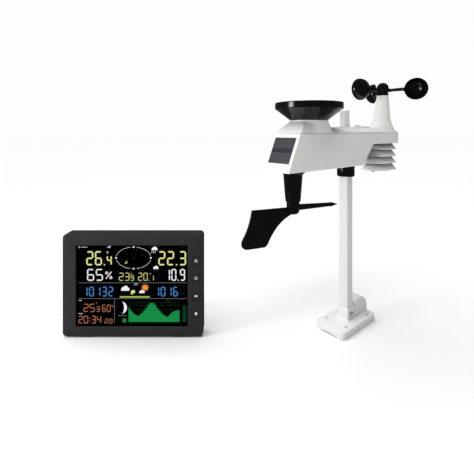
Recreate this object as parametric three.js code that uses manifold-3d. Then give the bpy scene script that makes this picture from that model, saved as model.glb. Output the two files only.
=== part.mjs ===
// Home weather station: an outdoor sensor head on a short mast with a screw-down foot, and its
// indoor console. Millimetres, +Z up, everything stands on z = 0. The outdoor unit is drawn round
// its mast axis with +X along the head towards the wind cups; the console is drawn in its own
// frame with its display facing -Y. At the end both are centred together over the origin.

import * as THREE from "three";
import { mergeVertices } from "three/addons/utils/BufferGeometryUtils.js";
import Module from "manifold-3d";

const wasm = await Module();
wasm.setup();

// ---------------------------------------------------------------- driving dimensions

const GAP = 0.3; // clearance between neighbouring pieces
const COARSE = 10; // sides of a small round piece
const ROUND = 24; // sides of a large round piece

// mast and foot
const FOOT = { length: 91, width: 50, thick: 10.8, corner: 7, centreX: 1, saddle: 2.4 };
const FOOT_HOLES = { radius: 2.2, x: [-24.5, 33], y: 17.3 };
const SOCKET = { side: 18.6, top: 29, flare: 4, screwZ: 19 };
const BOSS = { radius: 21, x: 24, z: 17, halfWidth: 10, flatX: 10.4 };
const MAST = { side: 15.2, wall: 1.5, bottom: 11.2, top: 284, corner: 1.6 };
const COLLAR = { radius: 13.4, low: 232, high: 249.7 };

// head housing
const HALF = 23.5; // half width of the head
const WALL = 2.2;
const FLOOR = 250;
const SIDE_TOP = 299.7;
const LID_LOW = 300;
const DECK = 308.5;
const NOSE = { lowX: -159.4, highX: -136.8 };
const STEP = { lowX: 11.7, highX: 42.6, z: 282 };
const TAIL_X = 120;
const RIDGE_HALF = 12;

// rain gauge
const RAIN_X = -91.4;
const FUNNEL = { rim: 47.2, band: 334.2, top: 342.3, slope: 0.767, skin: 2.6, outlet: 4.2, low: 298 };
const COLLAR_RING = { outer: 27, inner: 24.6, top: 317.8 };
const BUCKET = { pivotZ: 272, reach: 27, rise: 6, ridge: 16, half: 11, skin: 1.3, tip: 18 };

// wind cups
const POST_X = 116.3;
const POST_TOP = 366;
const POST_RIB = { reach: 19.5, half: 6, top: 321 };
const HUB = { low: 366.4, ballZ: 379, ballR: 10.2, baseR: 9.5 };
const CUP = { arm: 53.6, radius: 18.5, depth: 0.8, skin: 1.4, z: 375, headings: [-75, 45, 165] };

// wind vane
const VANE_X = -124.8;
const VANE = { hubR: 8.7, hubLow: 192, hubHigh: 208, heading: 161.3, thick: 2.4 };
const HOLDER = { flangeR: 16.8, topR: 12.9, lowR: 10.2, low: 208.4, spigotR: 8, spigotTop: 262 };
const POINTER = { reach: 72, neck: 60, thin: 3, deep: 4.2 };
const SHAFT_R = 1.5;

// radiation shield
const SHIELD = { x0: 88, x1: 116, rim: 21.6, neck: 15.2, skin: 1.7, height: 10.2 };
const SHIELD_RIMS = [271.4, 259.6, 247.8, 236];
const SHIELD_SCREWS_X = [82, 122];

// battery compartment of the head
const CELL = { radius: 7.1, length: 50, x: -37 };
const CELL_SEATS = [[-7.6, 260.6], [7.6, 260.6], [0, 274]];
const HATCH = { x0: -62, x1: -15.2, half: 16, skin: 1.8 };
const LID_SCREWS = [[-66, -17.5], [-66, 17.5]];

// console
const CASE = { width: 206, height: 150, split: 9, depth: 24, corner: 6, wall: 2.2, lift: 1.5 };
const SCREEN = { width: 163.7, height: 118.8, x: -0.7, z: 76.2 };
const KEY = { width: 11, height: 14, x: 93, z: [112.9, 87.6, 61.6, 35.6], flange: 0.8 };
const STAND = { width: 74, length: 46, thick: 4, hingeY: 28, hingeZ: 3.9, pinR: 1.4 };
const CELL_DOOR = { size: 30, x: 40, z: 84, thick: 1.6 };
const COIN = { radius: 10, thick: 3.2 };
const INLET = { x: -72, z: 18, side: 10, bore: 2.8 };
const CONSOLE_SCREWS = [[-92, 140], [92, 14]];
const CONSOLE_FEET_X = [-70, 70];
const CONSOLE_PLACE = { x: -275, y: 176.5, turn: -39.7 };

// ---------------------------------------------------------------- solids

// A closed three.js geometry as a manifold-3d solid.
function solid(geometry) {
  const bare = new THREE.BufferGeometry();
  const source = geometry.index ? geometry.toNonIndexed() : geometry;
  bare.setAttribute("position", source.getAttribute("position"));
  const merged = mergeVertices(bare, 1e-4);
  const mesh = new wasm.Mesh({
    numProp: 3,
    vertProperties: merged.attributes.position.array,
    triVerts: new Uint32Array(merged.index.array),
  });
  return new wasm.Manifold(mesh);
}

function join(...pieces) {
  return pieces.reduce((whole, piece) => whole.add(piece));
}

function cut(piece, ...tools) {
  return tools.reduce((rest, tool) => rest.subtract(tool), piece);
}

// A box between two corners.
function block(x0, x1, y0, y1, z0, z1) {
  const geometry = new THREE.BoxGeometry(x1 - x0, y1 - y0, z1 - z0);
  geometry.translate((x0 + x1) / 2, (y0 + y1) / 2, (z0 + z1) / 2);
  return solid(geometry);
}

// A closed [radius, z] outline turned round the vertical axis at (x, y).
function turned(outline, x = 0, y = 0, sides = ROUND) {
  const points = outline.map(([r, z]) => new THREE.Vector2(r, z));
  const geometry = new THREE.LatheGeometry([...points, points[0]], sides);
  geometry.rotateX(Math.PI / 2);
  geometry.translate(x, y, 0);
  return solid(geometry);
}

function rod(x, y, z0, z1, radius, sides = COARSE) {
  const outline = [[0, z0], [radius, z0], [radius, z1], [0, z1]];
  return turned(outline, x, y, sides);
}

// A round bar along Y.
function crossRod(x, z, y0, y1, radius, sides = COARSE) {
  const geometry = new THREE.CylinderGeometry(radius, radius, y1 - y0, sides);
  geometry.translate(x, (y0 + y1) / 2, z);
  return solid(geometry);
}

function shapeOf(points) {
  return new THREE.Shape(points.map(([a, b]) => new THREE.Vector2(a, b)));
}

// A shape in the XZ plane, carried along Y from y0 to y1.
function acrossY(shape, y0, y1, curveSegments = 12) {
  const options = { depth: y1 - y0, bevelEnabled: false, curveSegments };
  const geometry = new THREE.ExtrudeGeometry(shape, options);
  geometry.rotateX(Math.PI / 2);
  geometry.translate(0, y1, 0);
  return solid(geometry);
}

// A shape in the XY plane, carried up from z0 to z1.
function upZ(shape, z0, z1, curveSegments = 12) {
  const options = { depth: z1 - z0, bevelEnabled: false, curveSegments };
  const geometry = new THREE.ExtrudeGeometry(shape, options);
  geometry.translate(0, 0, z0);
  return solid(geometry);
}

// Rings of points, all the same count and anticlockwise seen from the last ring, as a closed skin.
function loft(rings) {
  const count = rings[0].length;
  const positions = rings.flat().flatMap((p) => [p.x, p.y, p.z]);
  const index = [];
  for (let level = 0; level < rings.length - 1; level++) {
    for (let i = 0; i < count; i++) {
      const a = level * count + i;
      const b = level * count + ((i + 1) % count);
      index.push(a, b, b + count, a, b + count, a + count);
    }
  }
  const last = (rings.length - 1) * count;
  for (let i = 1; i < count - 1; i++) {
    index.push(0, i + 1, i, last, last + i, last + i + 1);
  }
  const geometry = new THREE.BufferGeometry();
  geometry.setAttribute("position", new THREE.Float32BufferAttribute(positions, 3));
  geometry.setIndex(index);
  return solid(geometry);
}

function circleRing(x, y, z, radius, sides = ROUND) {
  return Array.from({ length: sides }, (_, i) => {
    const angle = (2 * Math.PI * i) / sides;
    return new THREE.Vector3(x + radius * Math.cos(angle), y + radius * Math.sin(angle), z);
  });
}

// A stadium ring along X: half circles round x0 and x1.
function stadiumRing(x0, x1, z, radius, sides = ROUND) {
  return Array.from({ length: sides }, (_, i) => {
    const angle = (2 * Math.PI * (i + 0.5)) / sides;
    const centre = Math.cos(angle) > 0 ? x1 : x0;
    return new THREE.Vector3(centre + radius * Math.cos(angle), radius * Math.sin(angle), z);
  });
}

// A ring with a square front end at x0 and a half-round end round x1.
function headRing(x0, x1, z, half) {
  const end = Array.from({ length: ROUND / 2 + 1 }, (_, i) => {
    const angle = -Math.PI / 2 + (2 * Math.PI * i) / ROUND;
    return new THREE.Vector3(x1 + half * Math.cos(angle), half * Math.sin(angle), z);
  });
  return [new THREE.Vector3(x0, -half, z), ...end, new THREE.Vector3(x0, half, z)];
}

// A rectangle with round corners as a shape.
function roundedRectangle(x0, x1, y0, y1, r) {
  const shape = new THREE.Shape();
  shape.moveTo(x0 + r, y0);
  shape.lineTo(x1 - r, y0);
  shape.absarc(x1 - r, y0 + r, r, -Math.PI / 2, 0, false);
  shape.lineTo(x1, y1 - r);
  shape.absarc(x1 - r, y1 - r, r, 0, Math.PI / 2, false);
  shape.lineTo(x0 + r, y1);
  shape.absarc(x0 + r, y1 - r, r, Math.PI / 2, Math.PI, false);
  shape.lineTo(x0, y0 + r);
  shape.absarc(x0 + r, y0 + r, r, Math.PI, 1.5 * Math.PI, false);
  return shape;
}

function squareTube(half, r, z0, z1) {
  return upZ(roundedRectangle(-half, half, -half, half, r), z0, z1, 4);
}

// ---------------------------------------------------------------- materials and nodes

const MATERIALS = {
  white: { color: 0xe8e8e4, roughness: 0.45, metalness: 0 },
  black: { color: 0x0c0c0d, roughness: 0.2, metalness: 0 },
  bezel: { color: 0x2b2c2e, roughness: 0.55, metalness: 0 },
  rubber: { color: 0x151515, roughness: 0.9, metalness: 0 },
  steel: { color: 0xb9bcc0, roughness: 0.3, metalness: 1 },
  board: { color: 0x1e5a32, roughness: 0.5, metalness: 0 },
  panel: { color: 0x24262b, roughness: 0.15, metalness: 0 },
  window: { color: 0x101214, roughness: 0.08, metalness: 0 },
  display: { color: 0x0a0a0c, roughness: 0.3, metalness: 0 },
  cell: { color: 0x3d6b8f, roughness: 0.4, metalness: 0.2 },
  level: { color: 0xb8d66a, roughness: 0.1, metalness: 0 },
};

// The named mesh of one sub-part.
function node(name, material, made) {
  const mesh = made.getMesh();
  const geometry = new THREE.BufferGeometry();
  geometry.setAttribute("position", new THREE.BufferAttribute(mesh.vertProperties, 3));
  geometry.setIndex(new THREE.BufferAttribute(mesh.triVerts, 1));
  geometry.computeVertexNormals();
  const result = new THREE.Mesh(geometry, new THREE.MeshStandardMaterial(MATERIALS[material]));
  result.name = name;
  return result;
}

// One numbered node for each place in a list.
function addEach(parent, name, material, places, make) {
  places.forEach((place, i) => parent.add(node(`${name}_${i + 1}`, material, make(place))));
}

// ---------------------------------------------------------------- mast and foot

// Plate with a shallow saddle underneath, the mast's socket and a half-round boss beside it.
function mastFoot() {
  const { length, width, thick, corner, centreX, saddle } = FOOT;
  const outline = roundedRectangle(
    centreX - length / 2, centreX + length / 2, -width / 2, width / 2, corner);
  const side = SOCKET.side / 2;
  const flare = loft([
    squareRing(side + SOCKET.flare, thick - 1),
    squareRing(side, thick + 3.5),
    squareRing(side, SOCKET.top),
  ]);
  const disc = crossRod(BOSS.x, BOSS.z, -BOSS.halfWidth, BOSS.halfWidth, BOSS.radius, 32);
  const bossKeep = block(BOSS.flatX, 60, -20, 20, thick - 1, 60);
  const arch = Math.pow(width / 3, 2) / (2 * saddle);
  const channel = new THREE.CylinderGeometry(arch, arch, 2 * length, 72);
  channel.rotateZ(Math.PI / 2);
  channel.translate(0, 0, saddle - arch);
  const holes = FOOT_HOLES.x.flatMap((x) =>
    [-1, 1].map((s) => rod(x, s * FOOT_HOLES.y, -1, thick + 1, FOOT_HOLES.radius)));
  const bore = squareTube(MAST.side / 2 + GAP, MAST.corner, MAST.bottom - GAP, 60);
  const screwHole = crossRod(0, SOCKET.screwZ, -20, 20, 2.3);
  const drain = rod(0, 0, -1, 20, 3);
  const body = join(upZ(outline, 0, thick, 6), flare, disc.intersect(bossKeep));
  return cut(body, solid(channel), bore, screwHole, drain, ...holes);
}

function squareRing(half, z) {
  return [[-1, -1], [1, -1], [1, 1], [-1, 1]].map(([x, y]) =>
    new THREE.Vector3(x * half, y * half, z));
}

function mastTube() {
  const half = MAST.side / 2;
  const outside = squareTube(half, MAST.corner, MAST.bottom, MAST.top);
  const inside = squareTube(half - MAST.wall, 0.6, MAST.bottom - 1, MAST.top + 1);
  return cut(outside, inside, crossRod(0, SOCKET.screwZ, -20, 20, 2.3));
}

function mastScrew() {
  const side = SOCKET.side / 2;
  const shank = crossRod(0, SOCKET.screwZ, -side - 0.6, side + 4.6, 1.9);
  return join(shank, crossRod(0, SOCKET.screwZ, -side - 2.8, -side - GAP, 3.5));
}

function mastNut() {
  const side = SOCKET.side / 2;
  const nut = crossRod(0, SOCKET.screwZ, side + GAP, side + 3.4, 3.9, 6);
  return cut(nut, crossRod(0, SOCKET.screwZ, side, side + 6, 2.2));
}

// Black ring that carries the head on the mast, with a round lower edge.
function lockCollar() {
  const { radius, low, high } = COLLAR;
  const ring = turned([
    [0, low], [radius - 2, low], [radius - 0.6, low + 0.7], [radius, low + 2.2],
    [radius, high], [0, high],
  ]);
  return cut(ring, squareTube(MAST.side / 2 + GAP, MAST.corner, low - 1, high + 1));
}

// ---------------------------------------------------------------- head housing

// Side outline of the head, inset by a wall: sloped nose, deep middle and a thin tail.
function headProfile(inset, top) {
  const lean = (NOSE.highX - NOSE.lowX) / (SIDE_TOP - FLOOR);
  const across = inset * Math.hypot(1, lean);
  const noseX = (z) => NOSE.lowX + lean * (z - FLOOR) + across;
  const stepLean = (STEP.highX - STEP.lowX) / (STEP.z - FLOOR);
  const stepX = (z) => STEP.lowX + stepLean * (z - FLOOR) - inset * Math.hypot(1, stepLean);
  const low = FLOOR + inset;
  const tail = STEP.z + inset;
  return shapeOf([
    [noseX(low), low], [stepX(low), low], [stepX(tail), tail],
    [TAIL_X + HALF + 20, tail], [TAIL_X + HALF + 20, top], [noseX(top), top],
  ]);
}

function planOf(half) {
  const shape = new THREE.Shape();
  shape.moveTo(-220, -half);
  shape.lineTo(TAIL_X, -half);
  shape.absarc(TAIL_X, 0, half, -Math.PI / 2, Math.PI / 2, false);
  shape.lineTo(-220, half);
  return shape;
}

function headVolume(inset, top) {
  const side = acrossY(headProfile(inset, top), -HALF - 5, HALF + 5);
  return side.intersect(upZ(planOf(HALF - inset), 200, 400, ROUND / 2));
}

// Lower shell: open on top, with the mast's socket, the vane's seat, the battery hatch and screw posts.
function housingBody() {
  const socketSide = MAST.side / 2 + 2.2;
  const socket = squareTube(socketSide, 1.5, FLOOR, MAST.top + 4.5);
  const mastBore = squareTube(MAST.side / 2 + GAP, MAST.corner, FLOOR - 1, MAST.top + GAP);
  const shell = cut(headVolume(0, SIDE_TOP), headVolume(WALL, SIDE_TOP + 5));
  const posts = LID_SCREWS.map(([x, y]) => rod(x, y, FLOOR, 262, 3.4));
  const postBores = LID_SCREWS.flatMap(([x, y]) => [
    rod(x, y, FLOOR - 1, 270, 1.7), rod(x, y, FLOOR - 1, FLOOR + 3, 3),
  ]);
  const bucketPosts = [-1, 1].map((s) =>
    block(RAIN_X - 4, RAIN_X + 4, s > 0 ? 14 : -17, s > 0 ? 17 : -14, FLOOR + 1, BUCKET.pivotZ + 4));
  const shieldPosts = SHIELD_SCREWS_X.map((x) => rod(x, 0, STEP.z, STEP.z + 7, 3.4));
  const vaneHole = rod(VANE_X, 0, FLOOR - 1, FLOOR + 5, HOLDER.spigotR + GAP, ROUND);
  const hatch = block(HATCH.x0, HATCH.x1, -HATCH.half, HATCH.half, FLOOR - 1, FLOOR + 5);
  const drains = [-1, 1].map((s) => rod(RAIN_X + s * 20, 0, FLOOR - 1, FLOOR + 5, 2.6));
  const shieldBores = SHIELD_SCREWS_X.map((x) => rod(x, 0, STEP.z - 1, STEP.z + 5, 1.7));
  const probeHole = block(95, 109, -4, 4, STEP.z - 1, STEP.z + 5);
  const pivotHole = crossRod(RAIN_X, BUCKET.pivotZ, -17.5, 17.5, SHAFT_R + 0.1);
  const body = join(shell, socket, ...posts, ...bucketPosts, ...shieldPosts);
  const panelPocket = sunkPanel(2, GAP);
  return cut(body, mastBore, vaneHole, hatch, probeHole, pivotHole, panelPocket,
    ...postBores, ...drains, ...shieldBores);
}

// A slab let into the sloped nose: depth below the surface, grown by margin on each side.
function sunkPanel(depth, margin) {
  const length = 35.6 + 2 * margin;
  const width = 36 + 2 * margin;
  const slab = new THREE.BoxGeometry(width, length, depth + 6);
  slab.translate(0, 0, 3 - depth / 2);
  const lean = Math.atan2(NOSE.highX - NOSE.lowX, SIDE_TOP - FLOOR);
  slab.rotateX(Math.PI / 2 - lean);
  slab.rotateZ(-Math.PI / 2);
  const centreZ = (FLOOR + SIDE_TOP) / 2 + 3;
  const centreX = NOSE.lowX + Math.tan(lean) * (centreZ - FLOOR);
  slab.translate(centreX, 0, centreZ);
  return solid(slab);
}

// Solar cell behind clear glass, flush with the nose.
function solarPanel() {
  const lip = cut(headVolume(0, SIDE_TOP), headVolume(1.7, SIDE_TOP + 5));
  return lip.intersect(sunkPanel(1.7, 0));
}

// The hipped roof's outside, raised by lift.
function roof(lift) {
  const noseTop = NOSE.highX + 0.15;
  return loft([
    headRing(noseTop, TAIL_X, LID_LOW + lift, HALF),
    headRing(noseTop + 0.5, TAIL_X, LID_LOW + 1.2 + lift, HALF),
    headRing(noseTop + 14, TAIL_X - 3, DECK + lift, RIDGE_HALF),
  ]);
}

// Upper shell: hipped roof, fairing up to the rain gauge's ring, and posts for the screws.
function housingLid() {
  const noseTop = NOSE.highX + 0.15;
  const ring = rod(RAIN_X, 0, LID_LOW, COLLAR_RING.top, COLLAR_RING.outer, 36);
  const posts = LID_SCREWS.map(([x, y]) => rod(x, y, 262 + GAP, LID_LOW + 2, 3));
  const pilot = LID_SCREWS.map(([x, y]) => rod(x, y, 261, 276, 1.7));
  const cavity = loft([
    headRing(noseTop + 6, TAIL_X, LID_LOW - 1, HALF - WALL - 2),
    headRing(noseTop + 17, TAIL_X - 3, DECK - WALL, RIDGE_HALF - 2),
  ]);
  const throat = rod(RAIN_X, 0, LID_LOW - 1, 330, COLLAR_RING.inner, 36);
  const aerialHole = block(-6.6, 0.9, -3.2, 3.2, LID_LOW, 320);
  const shaftHole = rod(POST_X, 0, LID_LOW, 320, 3);
  const outside = join(roof(0), noseFairing(), ring);
  const boredPosts = posts.map((post, i) => cut(post, pilot[i]));
  return join(cut(outside, cavity, throat, aerialHole, shaftHole), ...boredPosts);
}

// Sloped fairing from the nose's square edge to the round ring of the rain gauge.
function noseFairing() {
  const front = NOSE.highX + 0.6 - RAIN_X;
  const back = COLLAR_RING.outer - 1;
  const corner = Math.atan2(HALF, -front);
  const angles = Array.from({ length: 32 }, (_, i) => (2 * Math.PI * i) / 32);
  angles.push(Math.PI - corner, Math.PI + corner);
  angles.sort((a, b) => a - b);
  const reach = (a) => Math.min(
    (Math.cos(a) > 0 ? back : -front) / Math.max(Math.abs(Math.cos(a)), 1e-6),
    HALF / Math.max(Math.abs(Math.sin(a)), 1e-6));
  const ringAt = (radius, z) => angles.map((a) => new THREE.Vector3(
    RAIN_X + radius(a) * Math.cos(a), radius(a) * Math.sin(a), z));
  return loft([
    ringAt(reach, LID_LOW + 0.8),
    ringAt(() => COLLAR_RING.outer - 0.2, COLLAR_RING.top - 1.6),
  ]);
}

// Aerial cover on a longer low step, hollow from below.
function antennaShroud() {
  const step = block(-14, 3, -7.5, 7.5, DECK + GAP, DECK + 1.6);
  const lean = shapeOf([[-8.7, DECK + 1], [3, DECK + 1], [2.4, 335.8], [-8.2, 334.2]]);
  const inside = block(-6.4, 0.7, -3, 3, DECK - 1, 330);
  return cut(join(step, acrossY(lean, -5.3, 5.3)), inside);
}

function bubbleLevel() {
  return turned([
    [0, DECK + GAP], [6.6, DECK + GAP], [6.6, DECK + 1.4], [5.2, DECK + 1.8],
    [4.2, DECK + 2.9], [2.2, DECK + 3.7], [0, DECK + 3.9],
  ], 32, 0, 24);
}

function lightSensor() {
  const base = block(46, 64, -6, 6, DECK + GAP, DECK + 1.9);
  return join(base, rod(51, 0, DECK + 1, DECK + 2.9, 3.4));
}

function mainBoard() {
  const board = block(-57, 72, -13, 13, 291, 292.6);
  const chips = [[-30, 4, 8, 5], [22, -3, 6, 6], [44, 5, 4, 3]].map(([x, y, a, b]) =>
    block(x - a, x + a, y - b, y + b, 292, 294.4));
  return join(board, ...chips);
}

// Screw from below: pan head in its recess, shank up into the lid's post.
function lidScrew(x, y) {
  return join(rod(x, y, FLOOR + 0.9, FLOOR + 2.7, 2.6), rod(x, y, FLOOR + 2, 274, 1.4));
}

// ---------------------------------------------------------------- wind cups

// Hollow tapered post that leans out towards the tail as it rises, seated on the roof's slopes.
function anemometerPost() {
  const outside = loft([
    circleRing(POST_X - 4.8, 0, LID_LOW + 2.4, 21.4),
    circleRing(POST_X - 4.6, 0, DECK - 3, 20.5),
    circleRing(POST_X - 4.4, 0, DECK + 2, 19),
    circleRing(POST_X - 3.6, 0, 322, 14.6),
    circleRing(POST_X - 1.6, 0, 344, 12),
    circleRing(POST_X, 0, POST_TOP, HUB.baseR),
  ]);
  const { reach, half, top } = POST_RIB;
  const rib = block(POST_X, POST_X + reach, -half, half, LID_LOW + 4, top);
  const bore = rod(POST_X, 0, 300, POST_TOP - 9.3, 7, 20);
  const seat = rod(POST_X, 0, POST_TOP - 9.5, POST_TOP + 1, 5.6 + 0.1, 20);
  return cut(join(outside, rib), roof(GAP + 0.1), bore, seat);
}

function rotorBearing() {
  const z1 = POST_TOP - 0.4;
  const outline = [[SHAFT_R + 0.1, z1 - 4], [5.6, z1 - 4], [5.6, z1], [SHAFT_R + 0.1, z1]];
  return turned(outline, POST_X, 0, 20);
}

function rotorShaft() {
  return join(
    rod(POST_X, 0, 330, HUB.low + 10, SHAFT_R),
    rod(POST_X, 0, 331, 335, 5, 20),
  );
}

function rotorHub() {
  const { low, ballZ, ballR, baseR } = HUB;
  const ball = Array.from({ length: 8 }, (_, i) => {
    const angle = -0.62 + ((Math.PI / 2 + 0.62) * i) / 7;
    return [ballR * Math.cos(angle), ballZ + ballR * Math.sin(angle)];
  });
  ball[ball.length - 1][0] = 0;
  const body = turned([[0, low], [baseR, low], [baseR, low + 2], ...ball], POST_X, 0);
  const sockets = CUP.headings.map((heading) => cupArm(heading, 6.2, 20, 2.6));
  return cut(body, rod(POST_X, 0, low - 1, low + 10.3, SHAFT_R + 0.1), ...sockets);
}

// A bar that points out from the rotor's axis along a heading.
function cupArm(heading, from, to, radius) {
  const geometry = new THREE.CylinderGeometry(radius, radius, to - from, COARSE);
  geometry.rotateZ(-Math.PI / 2);
  geometry.translate((from + to) / 2, 0, 0);
  geometry.rotateZ(THREE.MathUtils.degToRad(heading));
  geometry.translate(POST_X, 0, CUP.z);
  return solid(geometry);
}

// Round cup, a little shallower than a half ball, on its arm. Its mouth faces clockwise from above.
function windCup(heading) {
  const arc = (radius, from, to) => Array.from({ length: 7 }, (_, i) => {
    const angle = from + ((to - from) * i) / 6;
    return new THREE.Vector2(radius * Math.sin(angle), -radius * Math.cos(angle));
  });
  const outer = arc(CUP.radius, 0, Math.PI / 2);
  const inner = arc(CUP.radius - CUP.skin, Math.PI / 2, 0);
  outer[0].x = 0;
  inner[inner.length - 1].x = 0;
  const bowl = new THREE.LatheGeometry([...outer, ...inner, outer[0]], 24);
  bowl.rotateX(Math.PI);
  bowl.scale(1, CUP.depth, 1);
  bowl.translate(CUP.arm, 0, 0);
  bowl.rotateZ(THREE.MathUtils.degToRad(heading));
  bowl.translate(POST_X, 0, CUP.z);
  const reach = CUP.arm - CUP.radius + CUP.skin / 2;
  return join(solid(bowl), cupArm(heading, 6.5, reach, 2.2));
}

// ---------------------------------------------------------------- wind vane

function vaneHolder() {
  const { flangeR, topR, lowR, low, spigotR, spigotTop } = HOLDER;
  const bore = SHAFT_R + 0.1;
  return turned([
    [bore, low + 5.4], [5.5, low + 5.4], [5.5, low], [lowR, low], [topR, FLOOR - 5],
    [flangeR, FLOOR - 1.4], [flangeR, FLOOR - GAP], [spigotR, FLOOR - GAP],
    [spigotR, spigotTop], [bore, spigotTop],
  ], VANE_X, 0);
}

function vaneBearing() {
  const { low } = HOLDER;
  const bore = SHAFT_R + 0.1;
  return turned([[bore, low + 1], [5.4, low + 1], [5.4, low + 5], [bore, low + 5]], VANE_X, 0, 20);
}

function vaneShaft() {
  return join(rod(VANE_X, 0, 197, 270, SHAFT_R), rod(VANE_X, 0, 264, 268, 4.4, 20));
}

// Hub with a pointer ahead of it and a deep swept tail blade behind it.
function windVane() {
  const { hubR, hubLow, hubHigh, heading, thick } = VANE;
  const hub = turned([
    [0, hubLow], [hubR - 2.6, hubLow], [hubR - 0.8, hubLow + 0.8], [hubR, hubLow + 2.6],
    [hubR, hubHigh], [0, hubHigh],
  ]);
  const tail = new THREE.Shape();
  tail.moveTo(0, 201);
  tail.lineTo(60.5, 201);
  tail.quadraticCurveTo(63.5, 180, 73, 165);
  tail.quadraticCurveTo(76.4, 158, 73, 154.2);
  tail.quadraticCurveTo(70.5, 151.3, 66, 151.3);
  tail.lineTo(43, 151.6);
  tail.quadraticCurveTo(39.4, 152.4, 37.1, 156.7);
  tail.quadraticCurveTo(24, 184, 0, 192.2);
  const { reach, neck, thin, deep } = POINTER;
  const axis = (hubLow + hubHigh) / 2;
  const pointer = shapeOf([
    [0, axis + deep], [-neck, axis + thin], [-reach, axis], [-neck, axis - thin], [0, axis - deep],
  ]);
  const blades = join(
    hub,
    acrossY(tail, -thick / 2, thick / 2, 8),
    acrossY(pointer, -thick / 2 - 0.4, thick / 2 + 0.4),
  );
  return cut(blades, rod(0, 0, 196.5, hubHigh + 1, SHAFT_R + 0.1))
    .rotate([0, 0, heading])
    .translate([VANE_X, 0, 0]);
}

// ---------------------------------------------------------------- rain gauge

function rainFunnel() {
  const { rim, top, slope, skin, outlet, low } = FUNNEL;
  const outer = (r) => FUNNEL.band + (r - rim) * slope;
  const inner = (r) => outer(r) + skin;
  const lip = rim - 1.8;
  const seat = 26.6;
  return turned([
    [outlet, low], [6, low], [6, outer(6)], [22.3, outer(22.3)], [22.3, 309], [24.1, 309],
    [24.1, outer(seat)], [seat, outer(seat)], [rim, outer(rim)], [rim, top], [lip, top],
    [lip, inner(lip)], [outlet, inner(outlet)],
  ], RAIN_X, 0, 36);
}

// Two-chamber rocker, drawn level round its pivot and tipped onto one stop.
function tippingBucket() {
  const { reach, rise, ridge, half, skin, tip, pivotZ } = BUCKET;
  const outside = shapeOf([
    [-reach, rise], [0, 0], [reach, rise], [reach, rise + 2], [0, ridge], [-reach, rise + 2],
  ]);
  const chamber = (s) => {
    const end = skin + (40 * rise) / reach;
    const points = [[s * 0.8, skin], [s * 40, end], [s * 40, 40], [s * 0.8, 40]];
    return acrossY(shapeOf(s > 0 ? points : points.reverse()), skin - half, half - skin);
  };
  const pivot = crossRod(0, -1.4, -half, half, 3.2);
  const bore = crossRod(0, -1.4, -half - 1, half + 1, SHAFT_R + 0.1);
  const trough = cut(acrossY(outside, -half, half), chamber(1), chamber(-1));
  const made = cut(join(trough, pivot), bore);
  return made.translate([0, 0, 1.4]).rotate([0, tip, 0]).translate([RAIN_X, 0, pivotZ]);
}

function bucketAxle() {
  return crossRod(RAIN_X, BUCKET.pivotZ, -16.8, 16.8, SHAFT_R);
}

// ---------------------------------------------------------------- radiation shield

// One louvre: a sloped skirt under a plate with an air slot, spacers and screw holes.
function louvre(rim) {
  const { x0, x1, rim: wide, neck, skin, height } = SHIELD;
  const outside = loft([
    stadiumRing(x0, x1, rim, wide), stadiumRing(x0, x1, rim + 1, wide),
    stadiumRing(x0, x1, rim + height, neck),
  ]);
  const inside = loft([
    stadiumRing(x0, x1, rim - 1, wide - skin), stadiumRing(x0, x1, rim + 0.6, wide - skin),
    stadiumRing(x0, x1, rim + height - skin, neck - skin),
  ]);
  const slot = loft([stadiumRing(96, 108, rim, 7, 20), stadiumRing(96, 108, rim + 20, 7, 20)]);
  const spacers = SHIELD_SCREWS_X.map((x) => rod(x, 0, rim - 1, rim + height - 0.5, 3.4));
  const bores = SHIELD_SCREWS_X.map((x) => rod(x, 0, rim - 2, rim + 20, 1.8));
  return cut(join(cut(outside, inside, slot), ...spacers), ...bores);
}

function shieldScrew(x) {
  const low = SHIELD_RIMS[3] - 1 - GAP;
  return join(rod(x, 0, low - 2, low, 3), rod(x, 0, low - 0.5, STEP.z + 4.6, 1.5));
}

// Sensor on a small upright board that hangs down inside the louvres.
function climateProbe() {
  return join(
    block(97, 107, -0.8, 0.8, 254, 288),
    block(98.5, 105.5, -2.4, 0, 256, 262),
    block(96, 108, -2.6, 2.6, 285, 289),
  );
}

// ---------------------------------------------------------------- power

function headCell(y, z) {
  const { radius, length, x } = CELL;
  const body = new THREE.LatheGeometry([
    [0, 0], [radius, 0], [radius, length - 1.6], [2.7, length - 1.6], [2.7, length], [0, length],
    [0, 0],
  ].map(([r, t]) => new THREE.Vector2(r, t)), 20);
  body.rotateZ(-Math.PI / 2);
  body.translate(x - length / 2, y, z);
  return solid(body);
}

// Cover under the head, hinged beside the mast.
function batteryDoor() {
  const { x0, x1, half, skin } = HATCH;
  const low = FLOOR + 0.2;
  const plate = block(x0 + GAP, x1 - GAP, GAP - half, half - GAP, low, low + skin);
  const catchLip = block(x0 + GAP, x0 + 4, -5, 5, FLOOR - 1, FLOOR + 1);
  return join(plate, catchLip);
}

// ---------------------------------------------------------------- console

// A rounded panel outline standing in XZ, inset from the case's edge.
function caseOutline(inset) {
  const { width, height, corner, lift } = CASE;
  return roundedRectangle(
    inset - width / 2, width / 2 - inset, lift + inset, lift + height - inset,
    Math.max(corner - inset, 1));
}

function caseSlab(inset, y0, y1) {
  return acrossY(caseOutline(inset), y0, y1, 5);
}

function screenSlab(margin, y0, y1) {
  const { width, height, x, z } = SCREEN;
  return block(
    x - width / 2 - margin, x + width / 2 + margin, y0, y1,
    z - height / 2 - margin, z + height / 2 + margin);
}

function keySlab(z, margin, y0, y1) {
  const { width, height, x } = KEY;
  return block(
    x - width / 2 - margin, x + width / 2 + margin, y0, y1,
    z - height / 2 - margin, z + height / 2 + margin);
}

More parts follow.
